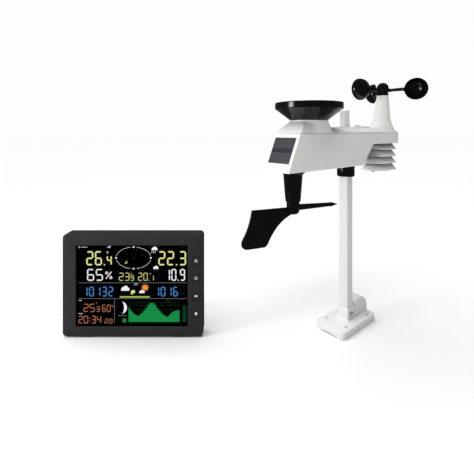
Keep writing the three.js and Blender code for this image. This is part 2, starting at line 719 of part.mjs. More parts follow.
// Front frame: stepped outer edge, open window, and holes for the keys.
function consoleBezel() {
  const { split, wall } = CASE;
  const body = join(caseSlab(0, 1.4, split), caseSlab(1.2, 0, split));
  const pocket = caseSlab(wall, wall, split + 1);
  const keyHoles = KEY.z.map((z) => keySlab(z, GAP, -1, split));
  return cut(body, pocket, screenSlab(0, -1, split), screenSlab(1.6, -1, 0.7), ...keyHoles);
}

function displayWindow() {
  return screenSlab(1, CASE.wall + GAP, CASE.wall + 1.8);
}

function lcdModule() {
  return screenSlab(1.8, CASE.wall + 2.1, CASE.split - 0.4);
}

function consoleKey(z) {
  return join(keySlab(z, 0, 0.1, 4.2), keySlab(z, KEY.flange, CASE.wall + GAP, 4.2));
}

// Rear shell: hollow, with the cell's pocket, the stand's hinge ears and vents.
function consoleBack() {
  const { split, depth, wall } = CASE;
  const shell = cut(caseSlab(0, split + GAP, depth), caseSlab(wall, split - 1, depth - wall));
  const { size, x, z, thick } = CELL_DOOR;
  const half = size / 2;
  const well = block(x - half - 2, x + half + 2, depth - 8, depth, z - half - 2, z + half + 2);
  const inner = half - 1.5;
  const seat = half + GAP;
  const wellInside = block(x - inner, x + inner, depth - 6, depth + 1, z - inner, z + inner);
  const doorSeat = block(x - seat, x + seat, depth - thick - 0.6, depth + 1, z - seat, z + seat);
  const ears = [-1, 1].flatMap((s) => [s * 30, s * 44]).map((ear) =>
    block(ear - 2, ear + 2, depth - 1, STAND.hingeY + 3, CASE.lift, STAND.hingeZ + 5));
  const pinBore = pinAlongX(-60, 60, STAND.pinR + 0.15);
  const socket = INLET.side / 2 + GAP;
  const inletHole = block(
    INLET.x - socket, INLET.x + socket, depth - 4, depth + 1, INLET.z - socket, INLET.z + socket);
  const vents = [0, 1, 2, 3, 4].map((i) =>
    block(-60, -20, depth - 4, depth + 1, 112 + 6 * i, 114 + 6 * i));
  const screwHoles = CONSOLE_SCREWS.map(([sx, sz]) => crossRod(sx, sz, depth - 2, depth + 1, 2.9));
  const body = join(shell, well, ...ears);
  return cut(body, wellInside, doorSeat, pinBore, inletHole, ...vents, ...screwHoles);
}

function pinAlongX(x0, x1, radius) {
  const geometry = new THREE.CylinderGeometry(radius, radius, x1 - x0, COARSE);
  geometry.rotateZ(Math.PI / 2);
  geometry.translate((x0 + x1) / 2, STAND.hingeY, STAND.hingeZ);
  return solid(geometry);
}

// Foot plate that folds out along the table behind the case.
function standPlate() {
  const { width, length, thick, hingeY, hingeZ, pinR } = STAND;
  const low = 0.1;
  const plate = block(-width / 2, width / 2, hingeY + 6, hingeY + length, low, low + thick);
  const lugs = [-37, 37].map((x) =>
    join(
      block(x - 4, x + 4, hingeY, hingeY + 7, low, low + thick),
      lugRound(x, thick),
    ));
  const window = block(-22, 22, hingeY + 14, hingeY + length - 12, low - 1, low + thick + 1);
  const bore = pinAlongX(-60, 60, pinR + 0.15);
  return cut(join(plate, ...lugs), window, bore);
}

function lugRound(x, thick) {
  const geometry = new THREE.CylinderGeometry(thick - 0.4, thick - 0.4, 8, COARSE);
  geometry.rotateZ(Math.PI / 2);
  geometry.translate(x, STAND.hingeY, STAND.hingeZ);
  return solid(geometry);
}

function consoleBoard() {
  const board = block(-88, 84, 12, 13.6, 24, 132);
  const chips = [[-20, 80, 12, 12], [20, 60, 8, 6], [-50, 50, 5, 9]].map(([x, z, a, b]) =>
    block(x - a, x + a, 13, 15.6, z - b, z + b));
  return join(board, ...chips);
}

function backupCell() {
  const front = CASE.depth - 5.6;
  return crossRod(CELL_DOOR.x, CELL_DOOR.z, front, front + COIN.thick, COIN.radius, 28);
}

function cellDoor() {
  const { size, x, z, thick } = CELL_DOOR;
  const half = size / 2;
  const back = CASE.depth - GAP;
  const plate = block(x - half, x + half, back - thick, back, z - half, z + half);
  const grips = [0, 1, 2].map((i) =>
    block(x - 8, x + 8, CASE.depth - 1, CASE.depth + 0.5, z - 9 + 3 * i, z - 7.6 + 3 * i));
  return join(plate, ...grips);
}

function powerInlet() {
  const { x, z, side, bore } = INLET;
  const half = side / 2;
  const body = block(x - half, x + half, CASE.depth - 11, CASE.depth - 0.4, z - half, z + half);
  const hole = crossRod(x, z, CASE.depth - 9, CASE.depth + 1, bore);
  return join(cut(body, hole), crossRod(x, z, CASE.depth - 9.5, CASE.depth - 2, 0.9));
}

function consoleScrew([x, z]) {
  const { depth } = CASE;
  return crossRod(x, z, depth - 1.8, depth - GAP, 2.5);
}

function consoleFoot(x) {
  return block(x - 12, x + 12, 4, 20, 0, CASE.lift - GAP);
}

// ---------------------------------------------------------------- assembly

const outdoorUnit = new THREE.Group();
outdoorUnit.add(
  node("mast_foot", "white", mastFoot()),
  node("mast_tube", "white", mastTube()),
  node("mast_screw", "steel", mastScrew()),
  node("mast_nut", "steel", mastNut()),
  node("lock_collar", "black", lockCollar()),
  node("housing_body", "white", housingBody()),
  node("housing_lid", "white", housingLid()),
  node("solar_panel", "panel", solarPanel()),
  node("antenna_shroud", "white", antennaShroud()),
  node("bubble_level", "level", bubbleLevel()),
  node("light_sensor", "white", lightSensor()),
  node("main_board", "board", mainBoard()),
  node("anemometer_post", "white", anemometerPost()),
  node("rotor_bearing", "steel", rotorBearing()),
  node("rotor_shaft", "steel", rotorShaft()),
  node("rotor_hub", "black", rotorHub()),
  node("vane_holder", "black", vaneHolder()),
  node("vane_bearing", "steel", vaneBearing()),
  node("vane_shaft", "steel", vaneShaft()),
  node("wind_vane", "black", windVane()),
  node("rain_funnel", "black", rainFunnel()),
  node("tipping_bucket", "black", tippingBucket()),
  node("bucket_axle", "steel", bucketAxle()),
  node("climate_probe", "board", climateProbe()),
  node("battery_door", "white", batteryDoor()),
);
addEach(outdoorUnit, "housing_screw", "steel", LID_SCREWS, ([x, y]) => lidScrew(x, y));
addEach(outdoorUnit, "wind_cup", "black", CUP.headings, windCup);
addEach(outdoorUnit, "louvre", "white", SHIELD_RIMS, louvre);
addEach(outdoorUnit, "shield_screw", "steel", SHIELD_SCREWS_X, shieldScrew);
addEach(outdoorUnit, "battery", "cell", CELL_SEATS, ([y, z]) => headCell(y, z));

const indoorConsole = new THREE.Group();
indoorConsole.add(
  node("console_bezel", "bezel", consoleBezel()),
  node("console_back", "bezel", consoleBack()),
  node("display_window", "window", displayWindow()),
  node("lcd_module", "display", lcdModule()),
  node("console_board", "board", consoleBoard()),
  node("backup_cell", "steel", backupCell()),
  node("power_inlet", "black", powerInlet()),
  node("stand_plate", "bezel", standPlate()),
  node("stand_pin", "steel", pinAlongX(-46, 46, STAND.pinR)),
  node("cell_door", "bezel", cellDoor()),
);
addEach(indoorConsole, "key", "bezel", KEY.z, consoleKey);
addEach(indoorConsole, "console_screw", "steel", CONSOLE_SCREWS, consoleScrew);
addEach(indoorConsole, "console_foot", "rubber", CONSOLE_FEET_X, consoleFoot);
indoorConsole.position.set(CONSOLE_PLACE.x, CONSOLE_PLACE.y, 0);
indoorConsole.rotation.z = THREE.MathUtils.degToRad(CONSOLE_PLACE.turn);

const group = new THREE.Group();
group.add(outdoorUnit, indoorConsole);
group.updateMatrixWorld(true);
const extent = new THREE.Box3().setFromObject(group, true);
const centre = extent.getCenter(new THREE.Vector3());
group.position.set(-centre.x, -centre.y, -extent.min.z);

export default group;
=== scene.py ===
import math

import bmesh
import bpy
from mathutils import Matrix, Vector
from mathutils.bvhtree import BVHTree


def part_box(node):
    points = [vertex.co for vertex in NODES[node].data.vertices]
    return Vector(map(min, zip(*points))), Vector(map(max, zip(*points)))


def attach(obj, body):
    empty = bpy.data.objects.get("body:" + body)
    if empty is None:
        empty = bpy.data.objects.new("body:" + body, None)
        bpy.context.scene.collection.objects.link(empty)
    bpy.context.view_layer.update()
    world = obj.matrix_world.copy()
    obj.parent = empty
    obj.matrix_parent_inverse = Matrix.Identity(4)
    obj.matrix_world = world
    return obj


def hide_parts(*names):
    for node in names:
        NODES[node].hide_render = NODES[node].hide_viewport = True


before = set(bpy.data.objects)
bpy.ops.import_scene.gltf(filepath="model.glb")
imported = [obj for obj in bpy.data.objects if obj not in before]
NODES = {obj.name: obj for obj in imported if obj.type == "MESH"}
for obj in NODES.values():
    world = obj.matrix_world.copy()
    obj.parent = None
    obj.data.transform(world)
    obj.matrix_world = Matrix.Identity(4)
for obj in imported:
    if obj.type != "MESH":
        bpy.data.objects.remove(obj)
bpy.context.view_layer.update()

# The looks of a home weather station: an outdoor sensor head on a short mast, and its indoor
# console with a colour display. Outlines are in millimetres round axes taken from the frame.

MM = 0.001
TAU = 2 * math.pi
MILLIMETRES = Matrix.Scale(MM, 4)


# ---------------- places

def middle(node):
    low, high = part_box(node)
    return (low + high) / 2


def shifted(x, y, z):
    return Matrix.Translation((x, y, z))


def turned(angle, axis):
    return Matrix.Rotation(math.radians(angle), 4, axis)


def upright(node):
    """Millimetres round a node's vertical axis, with heights from the floor."""
    at = middle(node)
    return shifted(at.x, at.y, 0) @ MILLIMETRES


MAST_PLACE = upright("mast_tube")
FEET_BEHIND_FRONT = 12
left_foot = middle("console_foot_1")
right_foot = middle("console_foot_2")
feet_centre = (left_foot + right_foot) / 2
along = right_foot - left_foot
CONSOLE_TURN = math.atan2(along.y, along.x)
CONSOLE_PLACE = (
    shifted(feet_centre.x, feet_centre.y, 0)
    @ Matrix.Rotation(CONSOLE_TURN, 4, "Z")
    @ MILLIMETRES
    @ shifted(0, -FEET_BEHIND_FRONT, 0)
)


# ---------------- meshes

def arc(x, z, radius, first, last, steps, squeeze=1.0):
    """Points round (x, z) from one angle to another, both ends included."""
    angles = [first + (last - first) * i / steps for i in range(steps + 1)]
    return [(x + radius * math.cos(a), z + squeeze * radius * math.sin(a)) for a in angles]


def disc(x, z, radius, sides=28, squeeze=1.0):
    return arc(x, z, radius, 0, TAU, sides, squeeze)[:-1]


def fillet(corners, steps=5):
    """A closed (a, b, radius) outline with its corners rounded, as (a, b) points."""
    points = []
    for i, (a, b, radius) in enumerate(corners):
        here = Vector((a, b))
        if radius <= 0:
            points.append((a, b))
            continue
        before = (Vector(corners[i - 1][:2]) - here).normalized()
        after = (Vector(corners[(i + 1) % len(corners)][:2]) - here).normalized()
        half = before.angle(after) / 2
        centre = here + (before + after).normalized() * (radius / math.sin(half))
        start = here + before * (radius / math.tan(half)) - centre
        end = here + after * (radius / math.tan(half)) - centre
        first = math.atan2(start.y, start.x)
        sweep = (math.atan2(end.y, end.x) - first + math.pi) % TAU - math.pi
        points += arc(centre.x, centre.y, radius, first, first + sweep, steps)
    return points


def rounded(x0, x1, y0, y1, radius=0.0, steps=5):
    """A rectangle's outline with its corners rounded."""
    return fillet([(x0, y0, radius), (x1, y0, radius), (x1, y1, radius), (x0, y1, radius)], steps)


def lying(outline, z):
    return [(a, b, z) for a, b in outline]


def standing(outline, y):
    return [(a, y, b) for a, b in outline]


def lathe(outline, sides=72):
    """A closed (radius, z) outline turned round the z axis."""
    made = bmesh.new()
    rings = []
    for radius, z in outline:
        count = 1 if radius < 1e-6 else sides
        ring = lying(disc(0, 0, radius, sides)[:count], z)
        rings.append([made.verts.new(point) for point in ring])
    for lower, upper in zip(rings, rings[1:] + rings[:1]):
        if len(lower) == len(upper) == 1:
            continue
        for i in range(sides):
            j = i + 1
            corners = [lower[i % len(lower)], lower[j % len(lower)],
                       upper[j % len(upper)], upper[i % len(upper)]]
            made.faces.new(list(dict.fromkeys(corners)))
    return made


def loft(rings, loop=False):
    """A skin through rings of equally many points, capped, or closed on itself as a loop."""
    made = bmesh.new()
    rows = [[made.verts.new(point) for point in ring] for ring in rings]
    pairs = list(zip(rows, rows[1:]))
    if loop:
        pairs.append((rows[-1], rows[0]))
    else:
        made.faces.new(rows[0][::-1])
        made.faces.new(rows[-1])
    for lower, upper in pairs:
        for i in range(len(lower)):
            j = (i + 1) % len(lower)
            made.faces.new((lower[i], lower[j], upper[j], upper[i]))
    return made


def across_y(outline, y0, y1):
    return loft([standing(outline, y0), standing(outline, y1)])


def up_z(outline, z0, z1):
    return loft([lying(outline, z0), lying(outline, z1)])


def box(x0, x1, y0, y1, z0, z1):
    return up_z(rounded(x0, x1, y0, y1), z0, z1)


def moved(made, *steps):
    for step in steps:
        made.transform(step)
    return made


def rod(x, y, z0, z1, radius, sides=40, bore=0.0):
    """An upright rod or tube."""
    outline = [(bore, z0), (radius, z0), (radius, z1), (bore, z1)]
    return moved(lathe(outline, sides), shifted(x, y, 0))


def as_mesh(name, made):
    """Turns a shape's faces outwards and hands it over as mesh data."""
    bmesh.ops.recalc_face_normals(made, faces=made.faces)
    mesh = bpy.data.meshes.new(name)
    made.to_mesh(mesh)
    made.free()
    return mesh


def new_object(name, data):
    obj = bpy.data.objects.new(name, data)
    bpy.context.scene.collection.objects.link(obj)
    return obj


def together(*parts):
    """Several meshes as one, each part still closed in itself."""
    made = bmesh.new()
    for part in parts:
        spare = as_mesh("spare", part)
        made.from_mesh(spare)
        bpy.data.meshes.remove(spare)
    return made


def cut(made, tool):
    """What is left of a closed mesh when another is taken out of it."""
    target, other = [new_object("spare", as_mesh("spare", part)) for part in (made, tool)]
    modifier = target.modifiers.new("cut", "BOOLEAN")
    modifier.object = other
    modifier.operation = "DIFFERENCE"
    modifier.solver = "EXACT"
    bpy.context.view_layer.update()
    result = target.evaluated_get(bpy.context.evaluated_depsgraph_get())
    done = bmesh.new()
    done.from_mesh(result.to_mesh())
    for spare in (target, other):
        mesh = spare.data
        bpy.data.objects.remove(spare)
        bpy.data.meshes.remove(mesh)
    return done


def soften(made, width, shortest=2.0, steepest=32):
    """Rounds the edges that can be seen from outside. Lengths are in the mesh's own unit."""
    bmesh.ops.recalc_face_normals(made, faces=made.faces)
    made.normal_update()
    tree = BVHTree.FromBMesh(made)
    chosen = []
    for edge in made.edges:
        if len(edge.link_faces) != 2 or edge.calc_length() < shortest:
            continue
        if edge.calc_face_angle_signed(0) < math.radians(steepest):
            continue
        normals = edge.link_faces[0].normal + edge.link_faces[1].normal
        outward = normals.normalized()
        centre = (edge.verts[0].co + edge.verts[1].co) / 2
        if tree.ray_cast(centre + outward * width * 0.1, outward)[0] is None:
            chosen.append(edge)
    bmesh.ops.bevel(made, geom=chosen, offset=width, segments=3, profile=0.5,
                    affect="EDGES", clamp_overlap=False)
    return made


def copy_of(node, width=0.0, shortest=2.0):
    """The frame's own shape of a node, welded, with its outer edges rounded by width in mm."""
    made = bmesh.new()
    made.from_mesh(NODES[node].data)
    bmesh.ops.remove_doubles(made, verts=made.verts, dist=0.004 * MM)
    bmesh.ops.dissolve_limit(made, angle_limit=math.radians(0.4), verts=made.verts, edges=made.edges)
    if width:
        soften(made, width * MM, shortest * MM)
    return made


def piece(name, made, place, materials, body, nodes=(), sharp=34):
    """Makes one finished piece that rides on a body and may stand for CAD nodes."""
    made.transform(place)
    mesh = as_mesh(name, made)
    mesh.polygons.foreach_set("use_smooth", [True] * len(mesh.polygons))
    mesh.set_sharp_from_angle(angle=math.radians(sharp))
    for material in materials if isinstance(materials, (list, tuple)) else [materials]:
        mesh.materials.append(material)
    obj = new_object(name, mesh)
    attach(obj, body)
    if nodes:
        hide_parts(*nodes)


def finished(node, made, place, materials, body, sharp=34):
    """The piece that stands for one CAD node."""
    piece(node + "_finished", made, place, materials, body, [node], sharp)


def finished_copy(node, body, material, width=0.0, shortest=2.0):
    finished(node, copy_of(node, width, shortest), Matrix.Identity(4), material, body)


# ---------------- materials

class Graph:
    """A material under construction round its Principled shader."""

    def __init__(self, name, **constants):
        self.material = bpy.data.materials.new(name)
        self.material.use_nodes = True
        self.tree = self.material.node_tree
        self.shader = self.tree.nodes["Principled BSDF"]
        for socket, value in constants.items():
            self.shader.inputs[socket.replace("_", " ")].default_value = value
        self.place = self.node("ShaderNodeTexCoord").outputs["Object"]

    def node(self, kind, inputs=None, **settings):
        made = self.tree.nodes.new(kind)
        for key, value in settings.items():
            setattr(made, key, value)
        for key, value in (inputs or {}).items():
            if isinstance(value, bpy.types.NodeSocket):
                self.tree.links.new(value, made.inputs[key])
            else:
                made.inputs[key].default_value = value
        return made

    def join(self, output, socket):
        self.tree.links.new(output, self.shader.inputs[socket])

    def axes(self, vector):
        return self.node("ShaderNodeSeparateXYZ", {"Vector": vector}).outputs

    def noise(self, scale, detail=3.0, roughness=0.55, place=None):
        vector = self.place if place is None else place
        inputs = {"Vector": vector, "Scale": scale, "Detail": detail, "Roughness": roughness}
        return self.node("ShaderNodeTexNoise", inputs).outputs["Fac"]

    def math(self, operation, *values):
        inputs = dict(enumerate(values))
        return self.node("ShaderNodeMath", inputs, operation=operation).outputs[0]

    def blend(self, factor, low, high):
        inputs = {0: factor, 6: low, 7: high}
        return self.node("ShaderNodeMix", inputs, data_type="RGBA").outputs[2]

    def ramp(self, value, start, end, low=0.0, high=1.0):
        """Low up to the start and high from the end on, with a straight run between them."""
        inputs = {"Value": value, "From Min": start, "From Max": end, "To Min": low, "To Max": high}
        return self.node("ShaderNodeMapRange", inputs).outputs["Result"]

    def spread(self, value, low, high):
        """Carries the usual range of a noise to another range."""
        return self.ramp(value, 0.3, 0.7, low, high)

    def bump(self, height, depth, strength=1.0):
        inputs = {"Height": height, "Distance": depth, "Strength": strength}
        self.join(self.node("ShaderNodeBump", inputs).outputs["Normal"], "Normal")


def shade(colour, factor):
    return (*[min(1.0, channel * factor) for channel in colour], 1.0)


SHIELD_LOW = 0.236
SHIELD_PITCH = 0.0118
# Dark colour of the painted shade on the shield.
PAINTED_SHADE = (0.075, 0.074, 0.072, 1.0)


def shield_painted_shade(graph):
    """Painted shade on the shield, darkening it towards each neck, below the head and at its upper front
    end.
    """
    axes = graph.axes(graph.place)
    height = axes["Z"]
    steps = graph.math("DIVIDE", graph.math("SUBTRACT", height, SHIELD_LOW), SHIELD_PITCH)
    neck = graph.ramp(graph.math("FRACT", steps), 0.35, 0.85, high=0.26)
    top = graph.ramp(height, 0.2725, 0.2795, high=0.97)
    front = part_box("louvre_1")[0].x
    end = graph.ramp(axes["X"], front, front + 0.012, 0.85, 0.0)
    corner = graph.math("MULTIPLY", end, graph.ramp(height, 0.246, 0.262))
    return graph.math("MAXIMUM", graph.math("MAXIMUM", neck, top), corner)


def moulded(name, colour, roughness, grain=1400.0, depth=0.02, spread=0.04, patch=35.0, painted_shade=None,
            **constants):
    """Moulded plastic, rubber or cast metal: faint clouding, uneven gloss and a fine skin."""
    graph = Graph(name, **constants)
    clouds = graph.noise(patch, 4.0)
    fine = graph.noise(grain, 2.0, 0.6)
    mixed = graph.math("MULTIPLY_ADD", fine, 0.35, graph.math("MULTIPLY", clouds, 0.65))
    factor = graph.spread(mixed, 0.0, 1.0)
    surface = graph.blend(factor, shade(colour, 1 - spread), shade(colour, 1 + spread))
    # Painted shade: the surface is blended towards a dark colour where the given mask says.
    if painted_shade:
        surface = graph.blend(painted_shade(graph), surface, PAINTED_SHADE)
    graph.join(surface, "Base Color")
    graph.join(graph.spread(mixed, roughness * 0.86, roughness * 1.14), "Roughness")
    graph.bump(fine, depth * MM)
    return graph.material


def brushed(name, colour, roughness):
    """Turned or drawn metal with fine rings and smudges."""
    graph = Graph(name, Metallic=0.75)
    stretched = graph.node("ShaderNodeMapping", {"Vector": graph.place, "Scale": (1.0, 1.0, 14.0)})
    lines = graph.noise(900.0, 3.0, 0.5, stretched.outputs["Vector"])
    smudge = graph.noise(120.0)
    graph.join(graph.blend(smudge, shade(colour, 0.86), shade(colour, 1.08)), "Base Color")
    graph.join(graph.spread(lines, roughness * 0.7, roughness * 1.4), "Roughness")
    graph.bump(lines, 0.006 * MM)
    return graph.material


FINGER_PITCH = 1.9 * MM
BUSBAR_PITCH = 5.2 * MM
CELL_GAP_HALF = 2.6 * MM


def solar_glass():
    """Dark cells under glass: fine silver fingers, a dark band between the two cells."""
    graph = Graph("solar_glass", Coat_Weight=0.3, Coat_Roughness=0.22, Roughness=0.4,
                  Specular_IOR_Level=0.25)
    centre = middle("solar_panel")
    local = graph.node("ShaderNodeVectorMath", {0: graph.place, 1: tuple(centre)}, operation="SUBTRACT")
    axes = graph.axes(local.outputs["Vector"])
    waves = graph.math("SINE", graph.math("MULTIPLY", axes["Y"], TAU / FINGER_PITCH))
    fingers = graph.math("GREATER_THAN", waves, 0.86)
    rows = graph.math("SINE", graph.math("MULTIPLY", axes["Z"], TAU / BUSBAR_PITCH))
    busbars = graph.math("GREATER_THAN", rows, 0.93)
    lines = graph.math("MAXIMUM", graph.math("MULTIPLY", fingers, 0.45), busbars)
    band = graph.math("LESS_THAN", graph.math("ABSOLUTE", axes["Z"]), CELL_GAP_HALF)
    grainy = graph.noise(260.0, 5.0)
    cells = graph.blend(grainy, (0.034, 0.034, 0.040, 1), (0.072, 0.072, 0.080, 1))
    ruled = graph.blend(graph.math("MULTIPLY", lines, 0.12), cells, (0.26, 0.27, 0.29, 1))
    surface = graph.blend(graph.math("MULTIPLY", band, 0.7), ruled, (0.020, 0.020, 0.024, 1))
    graph.join(surface, "Base Color")
    graph.bump(grainy, 0.01 * MM)
    return graph.material


def circuit():
    """Green solder mask with copper tracks showing through it, and scattered pads."""
    graph = Graph("circuit_board", Roughness=0.38, Coat_Weight=0.3)
    inputs = {"Vector": graph.place, "Scale": 210.0}
    tracks = graph.node("ShaderNodeTexVoronoi", inputs, feature="DISTANCE_TO_EDGE", distance="EUCLIDEAN")
    dots = graph.node("ShaderNodeTexVoronoi", {"Vector": graph.place, "Scale": 340.0}).outputs["Distance"]
    line = graph.math("LESS_THAN", tracks.outputs["Distance"], 0.05)
    pad = graph.math("LESS_THAN", dots, 0.13)
    mask = graph.blend(graph.noise(90.0), (0.008, 0.075, 0.026, 1), (0.014, 0.110, 0.040, 1))
    traced = graph.blend(line, mask, (0.030, 0.190, 0.060, 1))
    graph.join(graph.blend(pad, traced, (0.62, 0.58, 0.42, 1)), "Base Color")
    graph.bump(graph.math("ADD", line, pad), 0.03 * MM)
    return graph.material


def glass(name, colour, ior, roughness=0.02, weight=1.0):
    """Clear plastic with the faint haze of fine handling marks."""
    graph = Graph(name, IOR=ior, Transmission_Weight=weight)
    haze = graph.noise(60.0, 5.0)
    graph.join(graph.blend(haze, shade(colour, 0.97), shade(colour, 1.0)), "Base Color")
    graph.join(graph.spread(haze, roughness * 0.6, roughness * 1.6), "Roughness")
    graph.bump(graph.noise(700.0), 0.0015 * MM)
    return graph.material


def glowing(name, colour, strength):
    """A lit display element: even colour with a slightly uneven backlight."""
    graph = Graph(name, Roughness=0.6, Emission_Strength=strength)
    uneven = graph.noise(45.0, 2.0)
    lit = graph.blend(graph.spread(uneven, 0.0, 1.0), shade(colour, 0.86), shade(colour, 1.0))
    graph.join(lit, "Emission Color")
    graph.shader.inputs["Base Color"].default_value = shade(colour, 0.05)
    graph.shader.inputs["Specular IOR Level"].default_value = 0.0
    graph.bump(graph.noise(900.0), 0.004 * MM)
    return graph.material


def cell_wrap():
    """Shrink wrap of a dry cell: a pale band at one end, a dark body and fine seams."""
    graph = Graph("cell_wrap", Coat_Weight=0.4, Coat_Roughness=0.1)
    edge = middle("battery_1").x + 11 * MM
    band = graph.math("GREATER_THAN", graph.axes(graph.place)["X"], edge)
    marks = graph.noise(160.0, 4.0)
    dark = graph.blend(marks, (0.020, 0.060, 0.110, 1), (0.030, 0.080, 0.140, 1))
    graph.join(graph.blend(band, dark, (0.55, 0.40, 0.16, 1)), "Base Color")
    graph.join(graph.spread(marks, 0.26, 0.4), "Roughness")
    graph.bump(graph.noise(500.0), 0.01 * MM)
    return graph.material


WHITE = moulded("white_abs", (0.80, 0.80, 0.785), 0.42, grain=1700.0, depth=0.012, spread=0.018)
WHITE_TUBE = moulded("white_coated_tube", (0.80, 0.80, 0.79), 0.3, grain=1100.0, depth=0.005, spread=0.015)
# The shield's white carries painted shade towards each neck, below the head and at its upper front end.
SHIELD = moulded("shield_white", (0.80, 0.80, 0.785), 0.42, grain=1700.0, depth=0.012, spread=0.018,
                 painted_shade=shield_painted_shade)
BLACK = moulded("black_abs", (0.0026, 0.0026, 0.0030), 0.15, grain=1100.0, depth=0.004, spread=0.25,
                Specular_IOR_Level=0.46)
UNDERSIDE = moulded("shield_inside", (0.03, 0.03, 0.03), 0.6, grain=1500.0, depth=0.012, spread=0.2,
                    Specular_IOR_Level=0.2)
BLACK_SATIN = moulded("black_satin", (0.0035, 0.0035, 0.004), 0.4, grain=1500.0, depth=0.012, spread=0.2,
                      Specular_IOR_Level=0.2)
BEZEL = moulded("bezel_plastic", (0.028, 0.0283, 0.0295), 0.5, grain=1900.0, depth=0.03, spread=0.09,
                Specular_IOR_Level=0.22)
EDGE = moulded("key_plastic", (0.025, 0.0253, 0.0265), 0.42, grain=1900.0, depth=0.02, spread=0.09,
               Specular_IOR_Level=0.22)
RUBBER = moulded("rubber", (0.018, 0.018, 0.019), 0.85, grain=900.0, depth=0.05, spread=0.2)
STEEL = brushed("steel", (0.62, 0.63, 0.64), 0.26)
PANEL = solar_glass()
BOARD = circuit()
WINDOW = glass("window_acrylic", (1.0, 1.0, 1.0), 1.02)
DOME = glass("clear_dome", (0.97, 1.0, 0.97), 1.4, 0.05, 0.85)
LIQUID = glass("level_liquid", (0.86, 0.90, 0.74), 1.33, 0.05, 0.55)
DISPLAY = moulded("display_glass", (0.0002, 0.0002, 0.00024), 0.6, grain=600.0, depth=0.001, spread=0.3,
                  Specular_IOR_Level=0.0)
WRAP = cell_wrap()
PRINT = moulded("key_print", (0.78, 0.78, 0.78), 0.5, grain=2400.0, depth=0.006, spread=0.05)

INKS = {
    name: glowing("lcd_" + name, colour, strength) for name, colour, strength in (
        ("yellow", (0.80, 0.84, 0.27), 1.0),
        ("soft_yellow", (0.62, 0.64, 0.22), 0.9),
        ("white", (0.92, 0.93, 0.94), 1.0),
        ("grey", (0.23, 0.24, 0.26), 0.9),
        ("blue", (0.055, 0.19, 0.45), 1.0),
        ("orange", (0.44, 0.165, 0.090), 0.9),
        ("sun", (0.92, 0.28, 0.05), 1.0),
        ("green", (0.008, 0.27, 0.060), 1.0),
        ("dim_green", (0.004, 0.07, 0.018), 0.8),
        ("lime", (0.42, 0.58, 0.10), 1.0),
    )
}


# ---------------- mast and foot

def screw(node, body, radius, tip, head, length, place):
    """A pan-head screw: domed head with a cross recess at z = 0, its shank reaching down."""
    outline = fillet([
        (0, 0, 0), (radius * 0.72, -0.02, 0.9), (radius, -head * 0.55, 0.4), (radius, -head, 0.15),
        (tip, -head, 0), (tip, -length + 1.2, 0), (tip * 0.4, -length, 0), (0, -length, 0),
    ], 4)
    slots = ((radius * 0.55, radius * 0.11), (radius * 0.11, radius * 0.55))
    cross = together(*[box(-a, a, -b, b, -head * 0.7, 1) for a, b in slots])
    finished(node, cut(lathe(outline, 40), cross), place, STEEL, body)


def screw_up(node, body, radius, tip, head):
    """A screw whose head faces down at the low end of its node's box."""
    low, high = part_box(node)
    at = middle(node)
    place = shifted(at.x, at.y, low.z) @ turned(180, "X") @ MILLIMETRES
    screw(node, body, radius, tip, head, (high.z - low.z) / MM, place)


def square_ring(half, z, corner=0.8):
    return lying(rounded(-half, half, -half, half, corner, 4), z)


PLATE_TOP = 10.8
SADDLE_RADIUS = 57.9
SADDLE_RISE = 2.4
SOCKET_HALF = 9.3
BORE_HALF = 7.9
BORE_CORNER = 1.6
BOSS_X = 24.0
BOSS_Z = 17.0
BOSS_RADIUS = 21.0


def mast_foot():
    """Plate with a shallow saddle below, countersunk holes, a flared socket and a half-round boss."""
    plate = soften(up_z(rounded(-44.5, 46.5, -25, 25, 7, 10), 0, PLATE_TOP), 1.1, 0.1, 60)
    saddle = moved(rod(0, 0, -90, 90, SADDLE_RADIUS, 160), turned(90, "Y"),
                   shifted(0, 0, SADDLE_RISE - SADDLE_RADIUS))
    sinks = [
        moved(lathe([(0, -1), (2.2, -1), (2.2, 9.7), (3.3, PLATE_TOP), (3.3, 12), (0, 12)], 40),
              shifted(x, y, 0))
        for x in (-24.5, 33) for y in (-17.3, 17.3)
    ]
    base = cut(cut(plate, saddle), together(*sinks, rod(0, 0, -1, 9, 3.0)))
    flare = arc(SOCKET_HALF + 4, PLATE_TOP + 3.8, 4, -TAU / 4, -TAU / 2, 8, 1.1)
    rings = [square_ring(half, z) for half, z in flare]
    rings += [square_ring(SOCKET_HALF - inset, z) for inset, z in ((0, 28.4), (0.2, 28.8), (0.6, 29.0))]
    rings += [square_ring(BORE_HALF, z, BORE_CORNER) for z in (29.0, 10.4)]
    socket = loft(rings, loop=True)
    round_top = arc(BOSS_X, BOSS_Z, BOSS_RADIUS, math.radians(-20), math.radians(130.4), 40)
    boss = soften(across_y([(10.4, PLATE_TOP - 0.4)] + round_top, -10, 10), 0.9, 0.1, 60)
    finished("mast_foot", together(base, socket, boss), MAST_PLACE, WHITE, "outdoor_unit")


def mast_and_foot():
    mast_foot()
    finished_copy("mast_tube", "outdoor_unit", WHITE_TUBE)
    low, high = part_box("mast_screw")
    at = middle("mast_screw")
    place = shifted(at.x, low.y, at.z) @ turned(90, "X") @ MILLIMETRES
    screw("mast_screw", "outdoor_unit", 3.5, 1.9, 2.5, (high.y - low.y) / MM, place)
    finished_copy("mast_nut", "outdoor_unit", STEEL, 0.35, 1.0)
    collar = lathe(fillet([
        (0, 232, 0), (13.4, 232, 2.2), (13.4, 249.7, 0.6), (0, 249.7, 0),
    ], 6), 96)
    bore = up_z(rounded(-BORE_HALF, BORE_HALF, -BORE_HALF, BORE_HALF, BORE_CORNER), 200, 260)
    finished("lock_collar", cut(collar, bore), MAST_PLACE, BLACK, "outdoor_unit")


# ---------------- head

